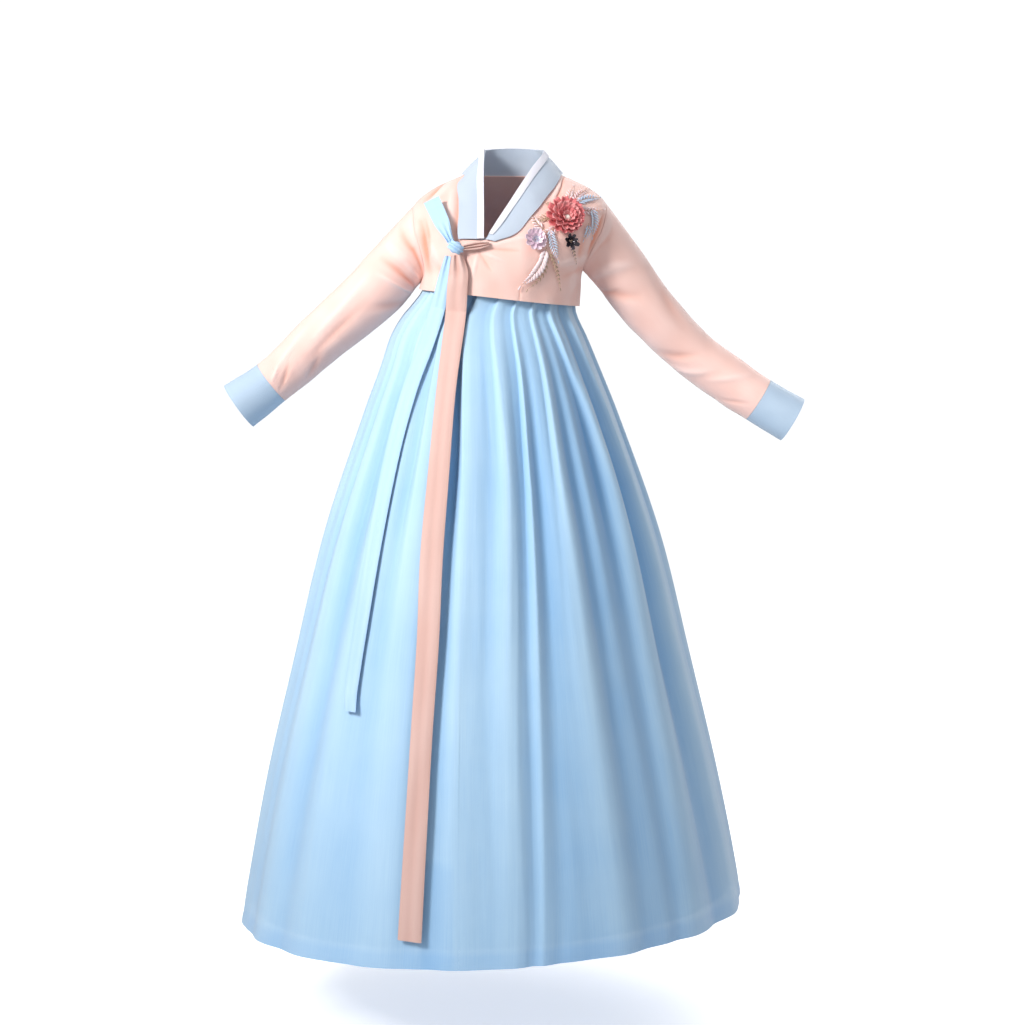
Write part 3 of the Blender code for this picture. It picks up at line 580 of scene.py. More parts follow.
# Creases: the two ends of each, its half width and how far it stands proud (or sinks).
Crease = namedtuple("Crease", "x z x_end z_end wide rise")
FRONT_CREASES = [Crease(*row) for row in (
    (0.088, -0.002, 0.074, -0.046, 0.0024, -0.0048),
    (0.081, -0.004, 0.066, -0.044, 0.0032, 0.0016),
    (-0.112, -0.012, -0.146, -0.044, 0.0036, -0.0034),
    (-0.104, -0.012, -0.134, -0.044, 0.0045, 0.0024),
    (-0.090, -0.010, -0.094, -0.110, 0.0045, -0.0026),
    (-0.101, -0.030, -0.103, -0.115, 0.0050, 0.0018),
    (-0.040, -0.118, 0.020, -0.106, 0.0035, 0.0014),
    (-0.044, -0.124, 0.010, -0.128, 0.0028, -0.0016),
    (-0.050, -0.128, -0.012, -0.146, 0.0030, 0.0012),
    (-0.053, -0.131, -0.034, -0.160, 0.0026, -0.0014),
    (-0.056, -0.133, -0.064, -0.170, 0.0028, 0.0012),
    (0.012, -0.186, 0.010, -0.215, 0.0016, -0.0012),
    (0.126, -0.136, 0.076, -0.150, 0.0050, 0.0020),
    (0.128, -0.148, 0.084, -0.170, 0.0045, -0.0018),
    (0.118, -0.104, 0.108, -0.142, 0.0045, -0.0024),
    (0.096, -0.196, 0.104, -0.150, 0.0050, 0.0014),
    (-0.128, -0.140, -0.110, -0.180, 0.0045, -0.0020),
    (-0.136, -0.110, -0.120, -0.160, 0.0050, 0.0020),
    (-0.144, -0.075, -0.134, -0.130, 0.0035, -0.0022),
    (0.152, -0.070, 0.126, -0.142, 0.0050, -0.0068),
    (-0.152, -0.080, -0.140, -0.160, 0.0055, -0.0045),
)]
BACK_CREASES = [Crease(*row) for row in (
    (-0.110, -0.060, -0.060, -0.120, 0.0060, 0.0022),
    (-0.118, -0.080, -0.080, -0.140, 0.0050, -0.0020),
    (0.112, -0.060, 0.064, -0.115, 0.0060, 0.0020),
    (0.118, -0.084, 0.086, -0.150, 0.0050, -0.0022),
    (-0.050, -0.150, 0.030, -0.162, 0.0060, 0.0016),
    (-0.020, -0.184, 0.070, -0.174, 0.0050, -0.0014),
    (0.000, -0.012, 0.001, -0.205, 0.0016, -0.0010),
)]


def straight(rows, at, column):
    """One column of a table at a value of its first column, on straight lines between the rows."""
    low = min(max(int(at), 0), len(rows) - 2)
    share = at - low
    start, end = getattr(rows[low], column), getattr(rows[low + 1], column)
    return start + (end - start) * share


def front_y(sections, x, z, out=0.0):
    """How far forward the front of a body section lies at one x."""
    width = smooth(sections, z, "half_width") + out
    depth = smooth(sections, z, "front") + out
    power = smooth(sections, z, "square")
    share = min(abs(x - smooth(sections, z, "centre")) / width, 0.999)
    return -depth * (1 - share**power) ** (1 / power)


def jacket_z(angle, row):
    left_share = (1 + math.sin(math.radians(angle))) / 2
    z_right = straight(LEVELS, row, "z_right")
    return z_right + (straight(LEVELS, row, "z_left") - z_right) * left_share


def jacket_point(angle, row, out=0.0):
    return ring_point(TORSO, angle, jacket_z(angle, row), out)


def jacket_angle(x, row):
    """The angle at which a row of the jacket's front reaches one x."""
    low, high = -90.0, 90.0
    for _ in range(24):
        middle = (low + high) / 2
        if jacket_point(middle, row)[0] < x:
            low = middle
        else:
            high = middle
    return low


def hole_angle(side, row):
    """Where the front's outer edge lies on a row: the side seam, the armhole or the shoulder."""
    share = straight(LEVELS, row, "hole")
    if share == 1:
        point = jacket_point(side * 90, row)
        return side * (90 - math.degrees(SEAM_GAP / 2 / abs(point[0])))
    z = jacket_z(side * 90, row)
    reach = smooth(TORSO, z, "half_width") * share
    return jacket_angle(smooth(TORSO, z, "centre") + side * reach, row)


def lap_lift(x):
    return LAP_LIFT * ease((LAP_FROM - x) / (LAP_FROM - LAP_TO))


def crease_rise(start, end, here, wide, rise, ends):
    """How far one crease, a line of cloth standing proud, lifts a place. It fades to its ends."""
    way = (end[0] - start[0], end[1] - start[1])
    square = way[0] ** 2 + way[1] ** 2
    share = clamp(((here[0] - start[0]) * way[0] + (here[1] - start[1]) * way[1]) / square)
    off = math.hypot(here[0] - start[0] - way[0] * share, here[1] - start[1] - way[1] * share)
    if off > wide * 3:
        return 0.0
    fade = ends + (1 - ends) * math.sin(math.pi * share)
    return rise * fade * math.exp(-((off / wide) ** 2))


def body_rise(creases, x, z):
    return sum(
        crease_rise((row.x, row.z), (row.x_end, row.z_end), (x, z), row.wide, row.rise, 0.35)
        for row in creases
    )


def ripple(x, y, z, fine=38.0, height=0.0007):
    """The slight waviness of cloth that nothing pulls flat."""
    return height * noise.noise(Vector((x * fine, y * fine, z * fine)))


def lay_body_panel(name, squares, flat, angle_at, creases, lift):
    rows = {}

    def place(across, up):
        row = up * NECK_ROW
        if row not in rows:
            rows[row] = angle_at(row)
        start, end = rows[row]
        angle = start + (end - start) * across
        x, y, z = jacket_point(angle, row)
        rise = body_rise(creases, x, z)
        # Seams and edges stay where they are sewn, so the creases die away towards them.
        free = min(across, 1 - across) * SEAM_HOLD
        rise = (rise + ripple(x, y, z)) * ease(0.25 + free)
        point = jacket_point(angle, row, lift(x) + rise)
        # Painted shade in the creases that sink and a painted highlight on those that stand proud.
        return point, clamp(PANEL_TONE - rise * PANEL_SHADE_GAIN)

    return lay_cloth(name, squares, flat, place, JACKET_WALL, 1.0)


peach_satin = dye_and_shade_cloth(
    "peach_satin", PEACH_LIT, PEACH_SHADED, 1700, 0.0009, 0.12, 0.35, 0.5, 0.35, 0.4
)
FRONT_LEFT_CUT, FRONT_RIGHT_CUT, BACK_CUT = (0.23, 0.24), (0.16, 0.24), (0.36, 0.24)
Panel = namedtuple("Panel", "name squares cut angle_at creases lift")
for panel in (
    Panel(
        "front_left", (150, 130), FRONT_LEFT_CUT,
        lambda row: (jacket_angle(straight(LEVELS, row, "lap_edge"), row), hole_angle(1, row)),
        FRONT_CREASES, lap_lift,
    ),
    Panel(
        "front_right", (110, 130), FRONT_RIGHT_CUT,
        lambda row: (hole_angle(-1, row), jacket_angle(straight(LEVELS, row, "under_edge"), row)),
        FRONT_CREASES, lambda x: 0.0,
    ),
    Panel(
        "back", (150, 110), BACK_CUT,
        lambda row: (180 - hole_angle(1, row), 180 - hole_angle(-1, row)),
        BACK_CREASES, lambda x: 0.0,
    ),
):
    body = lay_body_panel(
        f"jeogori_{panel.name}_satin", panel.squares, panel.cut, panel.angle_at, panel.creases,
        panel.lift,
    )
    sew_in(body, peach_satin, f"jeogori_{panel.name}")


# The sleeves: one tube of peach satin each, set into the armhole and narrowing to the wrist, with
# a straight cuff of pale blue sewn round its end. They fold at the underarm and bend at the elbow.
Tube = namedtuple("Tube", "along x y z tall deep")
ARM_LEFT = [Tube(*row) for row in (
    (1, 0.166, 0.002, -0.134, 0.097, 0.098),
    (2, 0.227, 0.006, -0.219, 0.091, 0.090),
    (3, 0.303, 0.006, -0.297, 0.082, 0.080),
    (4, 0.365, -0.006, -0.343, 0.081, 0.076),
    (5, 0.415, -0.022, -0.377, 0.078, 0.072),
    (6, 0.472, -0.040, -0.410, 0.080, 0.072),
)]
ARM_RIGHT = [Tube(*row) for row in (
    (1, -0.197, 0.002, -0.150, 0.098, 0.098),
    (2, -0.234, 0.006, -0.195, 0.100, 0.094),
    (3, -0.326, 0.006, -0.275, 0.088, 0.084),
    (4, -0.372, -0.006, -0.318, 0.081, 0.078),
    (5, -0.407, -0.022, -0.348, 0.077, 0.074),
    (6, -0.461, -0.040, -0.387, 0.085, 0.074),
)]
SLEEVE_GAP, SET_IN, SLEEVE_TONE, SLEEVE_SHADE_GAIN = 0.0001, 1.5, 0.20, 120
ARMHOLE_STEPS = 2 * (SHOULDER_ROW - UNDERARM_ROW)
# Creases on a sleeve: where along it and round it (0 is the underarm, 90 the front, 180 the top)
# each one starts and ends, its half width and its rise.
SleeveCrease = namedtuple("SleeveCrease", "along turn along_end turn_end wide rise")
LEFT_CREASES = [SleeveCrease(*row) for row in (
    (0.34, 20, 0.30, 150, 0.0120, 0.0075),
    (0.30, 10, 0.50, 130, 0.0075, -0.0050),
    (0.75, 5, 1.15, 110, 0.0080, 0.0040),
    (1.20, 0, 1.80, 85, 0.0070, -0.0030),
    (0.40, 190, 0.80, 330, 0.0080, -0.0045),
    (0.90, 210, 1.50, 345, 0.0080, 0.0035),
    (2.60, 20, 3.10, 95, 0.0070, -0.0024),
    (2.90, 10, 3.50, 80, 0.0065, 0.0022),
    (2.70, 340, 3.20, 250, 0.0070, -0.0026),
    (3.60, 60, 4.40, 130, 0.0060, 0.0018),
    (4.10, 30, 4.80, 70, 0.0050, -0.0016),
    (1.60, 150, 2.60, 120, 0.0090, -0.0016),
)]
RIGHT_CREASES = [SleeveCrease(*row) for row in (
    (0.20, 30, 0.22, 150, 0.0080, 0.0060),
    (0.35, 5, 0.55, 150, 0.0065, -0.0060),
    (0.70, 10, 0.85, 140, 0.0065, 0.0045),
    (1.02, 5, 1.10, 120, 0.0060, -0.0050),
    (1.30, 10, 1.60, 100, 0.0065, 0.0032),
    (1.60, 0, 2.20, 70, 0.0070, -0.0026),
    (0.40, 200, 0.80, 340, 0.0080, -0.0045),
    (0.95, 215, 1.50, 350, 0.0080, 0.0035),
    (1.80, 120, 3.00, 100, 0.0060, 0.0022),
    (2.20, 85, 3.40, 70, 0.0070, -0.0022),
    (3.00, 130, 4.40, 110, 0.0060, 0.0020),
    (3.20, 60, 4.00, 30, 0.0060, -0.0022),
    (4.00, 95, 4.90, 60, 0.0050, -0.0020),
    (4.35, 110, 4.95, 90, 0.0045, 0.0018),
    (2.70, 330, 3.30, 250, 0.0070, -0.0024),
)]
ALONG_LENGTH, TURN_LENGTH = 0.085, 0.00075  # metres to one step along and to one degree round
# The cuff's lit colour, and the shaded colour of the painted shade in its creases.
CUFF_LIT, CUFF_SHADED = (0.46, 0.58, 0.71), (0.29, 0.41, 0.58)


def armhole_point(side, count):
    """The armhole, counted from the underarm up the front, over the shoulder and down the back."""
    up = count % ARMHOLE_STEPS
    half = ARMHOLE_STEPS / 2
    if up <= half:
        row = UNDERARM_ROW + up
        angle = hole_angle(side, row)
    else:
        row = SHOULDER_ROW - (up - half)
        angle = side * 180 - hole_angle(side, row)
    return jacket_point(angle, row, JACKET_WALL)


def tube_direction(arm, along):
    reach = 0.25
    before, after = max(along - reach, 1), min(along + reach, arm[-1].along)
    step = [smooth(arm, after, axis) - smooth(arm, before, axis) for axis in "xyz"]
    length = math.hypot(*step)
    return [value / length for value in step]


def tube_point(arm, side, along, turn, out=0.0):
    """A point of the sleeve: the turn runs from the underarm by the front to the top and back."""
    along_x, _, along_z = tube_direction(arm, along)
    level = math.hypot(along_x, along_z)
    up_x, up_z = -side * along_z / level, abs(along_x) / level
    tall = -math.cos(turn) * (smooth(arm, along, "tall") / 2 + out)
    deep = -math.sin(turn) * (smooth(arm, along, "deep") / 2 + out)
    return (
        smooth(arm, along, "x") + up_x * tall,
        smooth(arm, along, "y") + deep,
        smooth(arm, along, "z") + up_z * tall,
    )


def sleeve_rise(creases, along, turn):
    def flat(steps, degrees):
        return steps * ALONG_LENGTH, degrees * TURN_LENGTH

    here = flat(along, turn)
    rise = 0.0
    for row in creases:
        start, end = flat(row.along, row.turn), flat(row.along_end, row.turn_end)
        rise += crease_rise(start, end, here, row.wide, row.rise, 0.3)
    return rise


def lay_sleeve(name, squares, flat, arm, side, creases, start_along, end_along):
    direction = tube_direction(arm, 1)
    holes = {}

    def place(across, up):
        round_share = (1 - across if side > 0 else across) % 1.0
        turn = 360 * round_share
        along = start_along + (end_along - start_along) * up
        rise = sleeve_rise(creases, along, turn)
        x, y, z = tube_point(arm, side, max(along, 1), math.radians(turn))
        rise += ripple(x, y, z, 30.0, 0.0009)
        rise *= ease(along * 2.2) * ease((end_along - along) * 5 + 0.25)
        if along >= SET_IN:
            point = tube_point(arm, side, along, math.radians(turn), rise)
        else:
            if round_share not in holes:
                holes[round_share] = armhole_point(side, round_share * ARMHOLE_STEPS)
            start = [a + way * SLEEVE_GAP for a, way in zip(holes[round_share], direction)]
            reach = along / SET_IN
            near = tube_point(arm, side, 1 + reach * (SET_IN - 1), math.radians(turn), rise)
            point = [a + (b - a) * ease(reach) for a, b in zip(start, near)]
        # Painted shade in the creases that sink and a painted highlight on those that stand proud.
        return point, clamp(SLEEVE_TONE - rise * SLEEVE_SHADE_GAIN)

    return lay_cloth(name, squares, flat, place, JACKET_WALL, ring=True)


cuff_satin = dye_and_shade_cloth("cuff_satin", CUFF_LIT, CUFF_SHADED, 1600, 0.0010, 0.15, 0.3, 0.5, 0.3, 0.4)
SLEEVE_CUT, CUFF_CUT = (0.29, 0.42), (0.245, 0.068)
CUFF_GAP = 0.005
for hand, arm, side, creases in (
    ("left", ARM_LEFT, 1, LEFT_CREASES),
    ("right", ARM_RIGHT, -1, RIGHT_CREASES),
):
    cuff_from, wrist = arm[-2].along, arm[-1].along
    tube = lay_sleeve(
        f"sleeve_{hand}_satin", (120, 170), SLEEVE_CUT, arm, side, creases, 0, cuff_from
    )
    sew_in(tube, peach_satin, f"sleeve_{hand}")
    cuff = lay_sleeve(
        f"cuff_{hand}_satin", (110, 40), CUFF_CUT, arm, side, creases, cuff_from + CUFF_GAP, wrist
    )
    sew_in(cuff, cuff_satin, f"cuff_{hand}")


# The collar: a stiffened pale blue band sewn round the neck and down the lapping front, with a
# narrow white strip whipped along its inner edge, which is changed when it soils.
Band = namedtuple("Band", "station angle z lift x_free y_free z_free")
COLLAR = [Band(*row) for row in (
    (0, -10, -0.1115, 0.0075, -0.044, -0.1155, -0.1085),
    (1, 7, -0.0985, 0.0068, -0.0295, -0.1060, -0.0845),
    (2, 23, -0.0670, 0.0055, -0.0055, -0.0790, -0.0480),
    (3, 51, -0.0280, 0.0045, 0.0300, -0.0430, 0.0080),
    (4, 84, 0.0010, 0.0045, 0.0505, -0.0040, 0.0370),
    (5, 135, 0.0010, 0.0040, 0.0400, 0.0400, 0.0440),
    (6, 180, 0.0010, 0.0040, 0.0000, 0.0530, 0.0470),
    (7, 225, 0.0010, 0.0040, -0.0400, 0.0400, 0.0440),
    (8, 276, 0.0010, 0.0045, -0.0460, -0.0040, 0.0370),
    (9, 292, -0.0170, 0.0045, -0.0475, -0.0410, -0.0010),
    (10, 313, -0.0600, 0.0040, -0.0470, -0.0850, -0.0600),
    (11, 323, -0.1080, 0.0040, -0.0470, -0.1130, -0.1080),
)]
STRIP_FROM = 0.75
# The collar's lit colour, and the shaded colour of its painted shade.
COLLAR_LIT, COLLAR_SHADED = (0.54, 0.61, 0.70), (0.35, 0.44, 0.60)
COLLAR_CUT, STRIP_CUT = (0.56, 0.050), (0.50, 0.0135)
COLLAR_ROUND, STRIP_FIRST, STRIP_WALL = 0.0009, 11 / 27, 0.0010


def collar_point(share, station):
    """A point of the collar: share 0 is its sewn edge and 1 its free edge."""
    angle = smooth(COLLAR, station, "angle")
    z = smooth(COLLAR, station, "z")
    sewn = Vector(ring_point(TORSO, angle, min(z, 0.0), smooth(COLLAR, station, "lift")))
    sewn.z = z
    free = Vector([smooth(COLLAR, station, column) for column in ("x_free", "y_free", "z_free")])
    return sewn.lerp(free, share)


def over_collar(share, station, out):
    """A point moved straight out from the collar's face."""
    reach = 0.05
    along = collar_point(share, station + reach) - collar_point(share, station - reach)
    up = collar_point(1, station) - collar_point(0, station)
    return collar_point(share, station) + along.cross(up).normalized() * out


def collar_place(across, up):
    station = across * COLLAR[-1].station
    crown = COLLAR_ROUND * math.sin(math.pi * min(up / STRIP_FROM, 1.0))
    crown += 0.0005 * noise.noise(Vector((station * 2.2, up * 2.0, 5.0)))
    # Painted highlight where the rounded face swells, painted shade where it sinks.
    return over_collar(up, station, crown), 0.25 - crown * 90


def strip_place(across, up):
    station = STRIP_FIRST + across * (COLLAR[-1].station - STRIP_FIRST)
    share = STRIP_FROM + (1 - STRIP_FROM) * up
    lift = JACKET_WALL + 2 * SEAM_GAP + 0.0004 * math.sin(math.pi * up)
    return over_collar(share, station, lift), 0.1


collar_satin = dye_and_shade_cloth(
    "collar_satin", COLLAR_LIT, COLLAR_SHADED, 1600, 0.0010, 0.15, 0.3, 0.5, 0.3, 0.4
)
collar = lay_cloth("git_satin", (260, 22), COLLAR_CUT, collar_place, JACKET_WALL, 1.0)
sew_in(collar, collar_satin, "git")
strip = lay_cloth("dongjeong_cotton", (250, 8), STRIP_CUT, strip_place, STRIP_WALL, 1.0)
sew_in(strip, white_cotton, "dongjeong")


# The ribbon bow: a blue and a peach ribbon, each a doubled strip of satin with pressed edges. The
# peach one leaves the lapping front, is wrapped by the blue one, and falls nearly to the hem.
Route = namedtuple("Route", "step x z width lift")
LONG_TAIL = [Route(*row) for row in (
    (0, -0.0915, -0.1340, 0.018, 0.010),
    (1, -0.0890, -0.1600, 0.031, 0.009),
    (2, -0.0910, -0.1900, 0.034, 0.009),
    (3, -0.0950, -0.2450, 0.034, 0.008),
    (4, -0.1085, -0.3550, 0.032, 0.006),
    (5, -0.1210, -0.5000, 0.035, 0.006),
    (6, -0.1305, -0.6200, 0.037, 0.006),
    (7, -0.1355, -0.7500, 0.036, 0.006),
    (8, -0.1445, -0.8900, 0.035, 0.006),
    (9, -0.1530, -1.0400, 0.036, 0.006),
    (10, -0.1625, -1.2120, 0.038, 0.006),
)]
BLUE_TAIL = [Route(*row) for row in (
    (0, -0.1045, -0.1360, 0.014, 0.0040),
    (1, -0.1120, -0.1720, 0.022, 0.0040),
    (2, -0.1250, -0.2260, 0.025, 0.0040),
    (3, -0.1440, -0.2850, 0.025, 0.0045),
    (4, -0.1680, -0.3500, 0.025, 0.0050),
    (5, -0.1960, -0.4520, 0.025, 0.0050),
    (6, -0.2240, -0.5950, 0.024, 0.0050),
    (7, -0.2460, -0.7300, 0.023, 0.0050),
    (8, -0.2610, -0.8300, 0.022, 0.0060),
    (9, -0.2625, -0.8680, 0.019, 0.0090),
)]
STUB = [Route(*row) for row in (
    (0, -0.0380, -0.1160, 0.007, 0.0062),
    (1, -0.0560, -0.1190, 0.014, 0.0075),
    (2, -0.0800, -0.1225, 0.010, 0.0100),
)]
RIBBON_WALL, RIBBON_TONE, RIBBON_SHADE_GAIN = 0.0010, 0.22, 120
# Each ribbon's lit colour, and the shaded colour of the painted shade in its gathers.
RIBBON_LIT, RIBBON_SHADED = (0.45, 0.65, 0.86), (0.27, 0.47, 0.76)
TAIL_LIT, TAIL_SHADED = (0.71, 0.48, 0.43), (0.56, 0.27, 0.21)
RIBBON_EDGE = 0.42  # where across its half width the ribbon's pressed edge begins
# Ways a ribbon bends across its width: how many gathers it has, and how deep, by its first end.
Gather = namedtuple("Gather", "count start_deep end_deep fade edge_roll")
TAIL_GATHER = Gather(2, 0.0026, 0.0004, 2.2, 0.0010)
BLUE_GATHER = Gather(2, 0.0018, 0.0004, 2.2, 0.0010)
STUB_GATHER = Gather(3, 0.0018, 0.0022, 2.0, 0.0006)
TAIL_CUT, BLUE_TAIL_CUT, STUB_CUT = (0.036, 1.12), (0.026, 0.79), (0.028, 0.044)


def hang_y(x, z, lift):
    """Where a ribbon hangs: in front of the jacket and, under its hem, of the skirt."""
    jacket_floor, away = TORSO[0].z, 0.06
    over_jacket = front_y(TORSO, x, max(z, jacket_floor), lift + JACKET_WALL + LAP_LIFT)
    over_skirt = front_y(SKIRT, x, min(z, SKIRT_TOP), lift)
    fade = ease((jacket_floor - z) / away)
    return min(over_jacket * (1 - fade) + over_skirt * fade, over_skirt)


def lay_ribbon(name, route, squares, flat, gather, wave):
    last = route[-1].step

    def place(across, up):
        step = last * (1 - up)
        share = across - 0.5
        before, after = max(step - 0.5, 0), min(step + 0.5, last)
        way_x = smooth(route, after, "x") - smooth(route, before, "x")
        way_z = smooth(route, after, "z") - smooth(route, before, "z")
        length = math.hypot(way_x, way_z)
        offset = share * smooth(route, step, "width")
        x = smooth(route, step, "x") - way_z / length * offset
        z = smooth(route, step, "z") + way_x / length * offset
        near = ease(1 - step / gather.fade)
        deep = gather.end_deep + (gather.start_deep - gather.end_deep) * near
        bend = deep * math.cos(2 * math.pi * gather.count * across + 0.6)
        bend += gather.edge_roll * ease((abs(share) - RIBBON_EDGE) / (0.5 - RIBBON_EDGE))
        bend += wave * noise.noise(Vector((share * 1.5, step * 1.3, 2.0)))
        y = hang_y(x, z, smooth(route, step, "lift")) + bend
        # Painted shade where the ribbon sinks back into its gathers, paler where it comes forward.
        return (x, y, z), clamp(RIBBON_TONE + bend * RIBBON_SHADE_GAIN)

    return lay_cloth(name, squares, flat, place, RIBBON_WALL)


peach_ribbon = dye_and_shade_cloth(
    "peach_ribbon", TAIL_LIT, TAIL_SHADED, 1700, 0.0009, 0.12, 0.35, 0.5, 0.35, 0.4
)
blue_ribbon = dye_and_shade_cloth(
    "blue_ribbon", RIBBON_LIT, RIBBON_SHADED, 1600, 0.0010, 0.15, 0.3, 0.45, 0.35, 0.4
)
stub = lay_ribbon("goreum_stub_satin", STUB, (28, 40), STUB_CUT, STUB_GATHER, 0.0006)
sew_in(stub, peach_ribbon, "goreum_stub")
tail = lay_ribbon("goreum_tail_satin", LONG_TAIL, (24, 420), TAIL_CUT, TAIL_GATHER, 0.0016)
sew_in(tail, peach_ribbon, "goreum_tail")
blue_tail = lay_ribbon(
    "goreum_blue_tail_satin", BLUE_TAIL, (20, 300), BLUE_TAIL_CUT, BLUE_GATHER, 0.0014
)
sew_in(
    blue_tail, blue_ribbon, "goreum_blue_tail"
)

LOOP_FOOT, LOOP_TOP = (-0.1010, -0.1130), (-0.1350, -0.0420)
LOOP_WIDTHS = (0.012, 0.024, 0.028)
LOOP_LIFT, LOOP_OPEN, LOOP_TONE, LOOP_SHADE_GAIN = 0.0100, 0.0080, 0.15, 160
LOOP_CUT = (0.025, 0.165)


def loop_place(across, up):
    """The ribbon runs up the back layer, over the fold and down the front layer."""
    turn = 2 * up - 1
    rise = 1 - abs(turn)
    rise = 1 - (1 - rise) ** 1.6 if rise < 1 else 1.0
    middle_x = LOOP_FOOT[0] + (LOOP_TOP[0] - LOOP_FOOT[0]) * rise
    middle_z = LOOP_FOOT[1] + (LOOP_TOP[1] - LOOP_FOOT[1]) * rise
    foot, waist, top = LOOP_WIDTHS
    width = foot + (waist - foot) * ease(rise * 2) + (top - waist) * ease(rise)
    lean = math.atan2(LOOP_TOP[1] - LOOP_FOOT[1], LOOP_TOP[0] - LOOP_FOOT[0]) - math.pi / 2
    share = 0.5 - across
    x = middle_x + math.cos(lean) * width * share
    z = middle_z + math.sin(lean) * width * share
    opened = LOOP_OPEN / 2 * math.sin(math.pi / 2 * turn)
    swell = 0.35 + 0.65 * math.sin(math.pi * rise)
    swell += (1 - swell) * (1 - ease(abs(turn) / 0.10))
    gathered = 0.0020 * ease(1 - rise * 1.8) * math.cos(2 * math.pi * 2.5 * across + 0.4)
    gathered *= ease(turn * 4)
    y = hang_y(middle_x, middle_z, LOOP_LIFT) - opened * swell + gathered
    # Painted shade in the gathers that sink back, paler on those that come forward.
    return (x, y, z), clamp(LOOP_TONE + gathered * LOOP_SHADE_GAIN)


loop = lay_cloth("goreum_loop_satin", (26, 150), LOOP_CUT, loop_place, RIBBON_WALL)
sew_in(loop, blue_ribbon, "goreum_loop")

KNOT_PLACE, KNOT_SIZE, KNOT_LIFT = (-0.0935, -0.1215), (0.0130, 0.0075, 0.0110), 0.0135
KNOT_WRAPS, KNOT_RIDGE, KNOT_SLANT, KNOT_DROP = 3.0, 0.10, 0.55, 0.2
bpy.ops.object.select_all(action="DESELECT")
bpy.ops.mesh.primitive_uv_sphere_add(segments=72, ring_count=40, radius=1, calc_uvs=True)
knot = bpy.context.object
knot.name = knot.data.name = "goreum_knot_satin"
knot_shade = knot.data.attributes.new("fold", "FLOAT", "POINT")
knot_y = hang_y(*KNOT_PLACE, KNOT_LIFT)
for vertex in knot.data.vertices:
    side_x, ahead, up = vertex.co
    # The cloth is wound round the knot a little aslant, so its edges run down from one side.
    slant = up + side_x * KNOT_SLANT
    ridge = math.cos(slant * math.pi * KNOT_WRAPS) + 0.4 * noise.noise(vertex.co * 2.5)
    swell = 1 + KNOT_RIDGE * ridge
    # Painted shade in the grooves between the wraps and a painted highlight on their ridges.
    knot_shade.data[vertex.index].value = clamp(0.25 - 0.3 * ridge)
    vertex.co = (
        KNOT_PLACE[0] + side_x * KNOT_SIZE[0] * swell,
        knot_y + ahead * KNOT_SIZE[1] * swell,
        KNOT_PLACE[1] + up * KNOT_SIZE[2] * swell - side_x * KNOT_SIZE[2] * KNOT_DROP,
    )
knot.data.shade_smooth()
knot.data.materials.append(blue_ribbon)
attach(knot, "root")
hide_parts("goreum_knot")


# The flowers: beads, sequins and folded ribbon petals sewn to the wearer's left chest. The large
# rose is gathered coral ribbon round a pearl; plumes of sequins and gilt thread spread from it.
Sheen = namedtuple("Sheen", "name lit deep rough metal coat")
TRIM_LIFT, TRIM_UNEVEN, TRIM_BUMP, TRIM_GRAIN = 0.0024, 0.9, 0.3, 0.0003
GRAIN_SCALE = 420.0


def sequin_finish(sheen):
    """Beads and sequins: each one a little paler or deeper than the next, and glossy."""
    material, tree, shader, colour_and_shade = start_dye_and_shade(sheen.name, sheen.lit, sheen.deep, TRIM_UNEVEN)
    place = tree.nodes.new("ShaderNodeTexCoord")
    grain = tree.nodes.new("ShaderNodeTexNoise")
    grain.inputs["Scale"].default_value = GRAIN_SCALE
    grain.inputs["Detail"].default_value = 1.0
    wire(tree, place.outputs["Object"], grain, "Vector")
    wire(tree, grain.outputs["Fac"], colour_and_shade, "Streaks")
    add_bump(tree, grain.outputs["Fac"], shader, TRIM_BUMP, TRIM_GRAIN)
    shader.inputs["Roughness"].default_value = sheen.rough
    shader.inputs["Metallic"].default_value = sheen.metal
    shader.inputs["Coat Weight"].default_value = sheen.coat
    return material


# Each trim's lit colour and the shaded colour of the painted shade that its petals, leaves and
# beads take, then its roughness, metal and coat.
trims = {
    sheen.name: sequin_finish(sheen)
    for sheen in (
        Sheen("coral_ribbon", (0.78, 0.22, 0.23), (0.46, 0.07, 0.09), 0.7, 0.0, 0.0),
        Sheen("pale_coral_ribbon", (0.84, 0.34, 0.34), (0.58, 0.12, 0.14), 0.6, 0.0, 0.0),
        Sheen("lilac_sequins", (0.94, 0.76, 0.82), (0.60, 0.38, 0.56), 0.4, 0.0, 0.3),
        Sheen("ice_sequins", (0.72, 0.82, 0.93), (0.26, 0.36, 0.58), 0.3, 0.1, 0.4),
        Sheen("rose_silver_sequins", (0.92, 0.76, 0.78), (0.62, 0.36, 0.40), 0.3, 0.1, 0.4),
        Sheen("gilt_thread", (0.62, 0.44, 0.30), (0.28, 0.16, 0.11), 0.35, 0.3, 0.2),
        Sheen("pearl_bead", (0.93, 0.88, 0.78), (0.80, 0.70, 0.58), 0.18, 0.0, 0.8),
        Sheen("jet_sequins", (0.05, 0.035, 0.05), (0.015, 0.01, 0.02), 0.15, 0.2, 0.8),
        Sheen("blush_plume", (0.96, 0.84, 0.84), (0.78, 0.48, 0.52), 0.4, 0.0, 0.2),
    )
}


def chest_point(x, z, out):
    """A point of the lapping front, moved out."""
    lift = lap_lift(x) + JACKET_WALL + out
    return Vector((x, front_y(TORSO, x, z, lift), z))


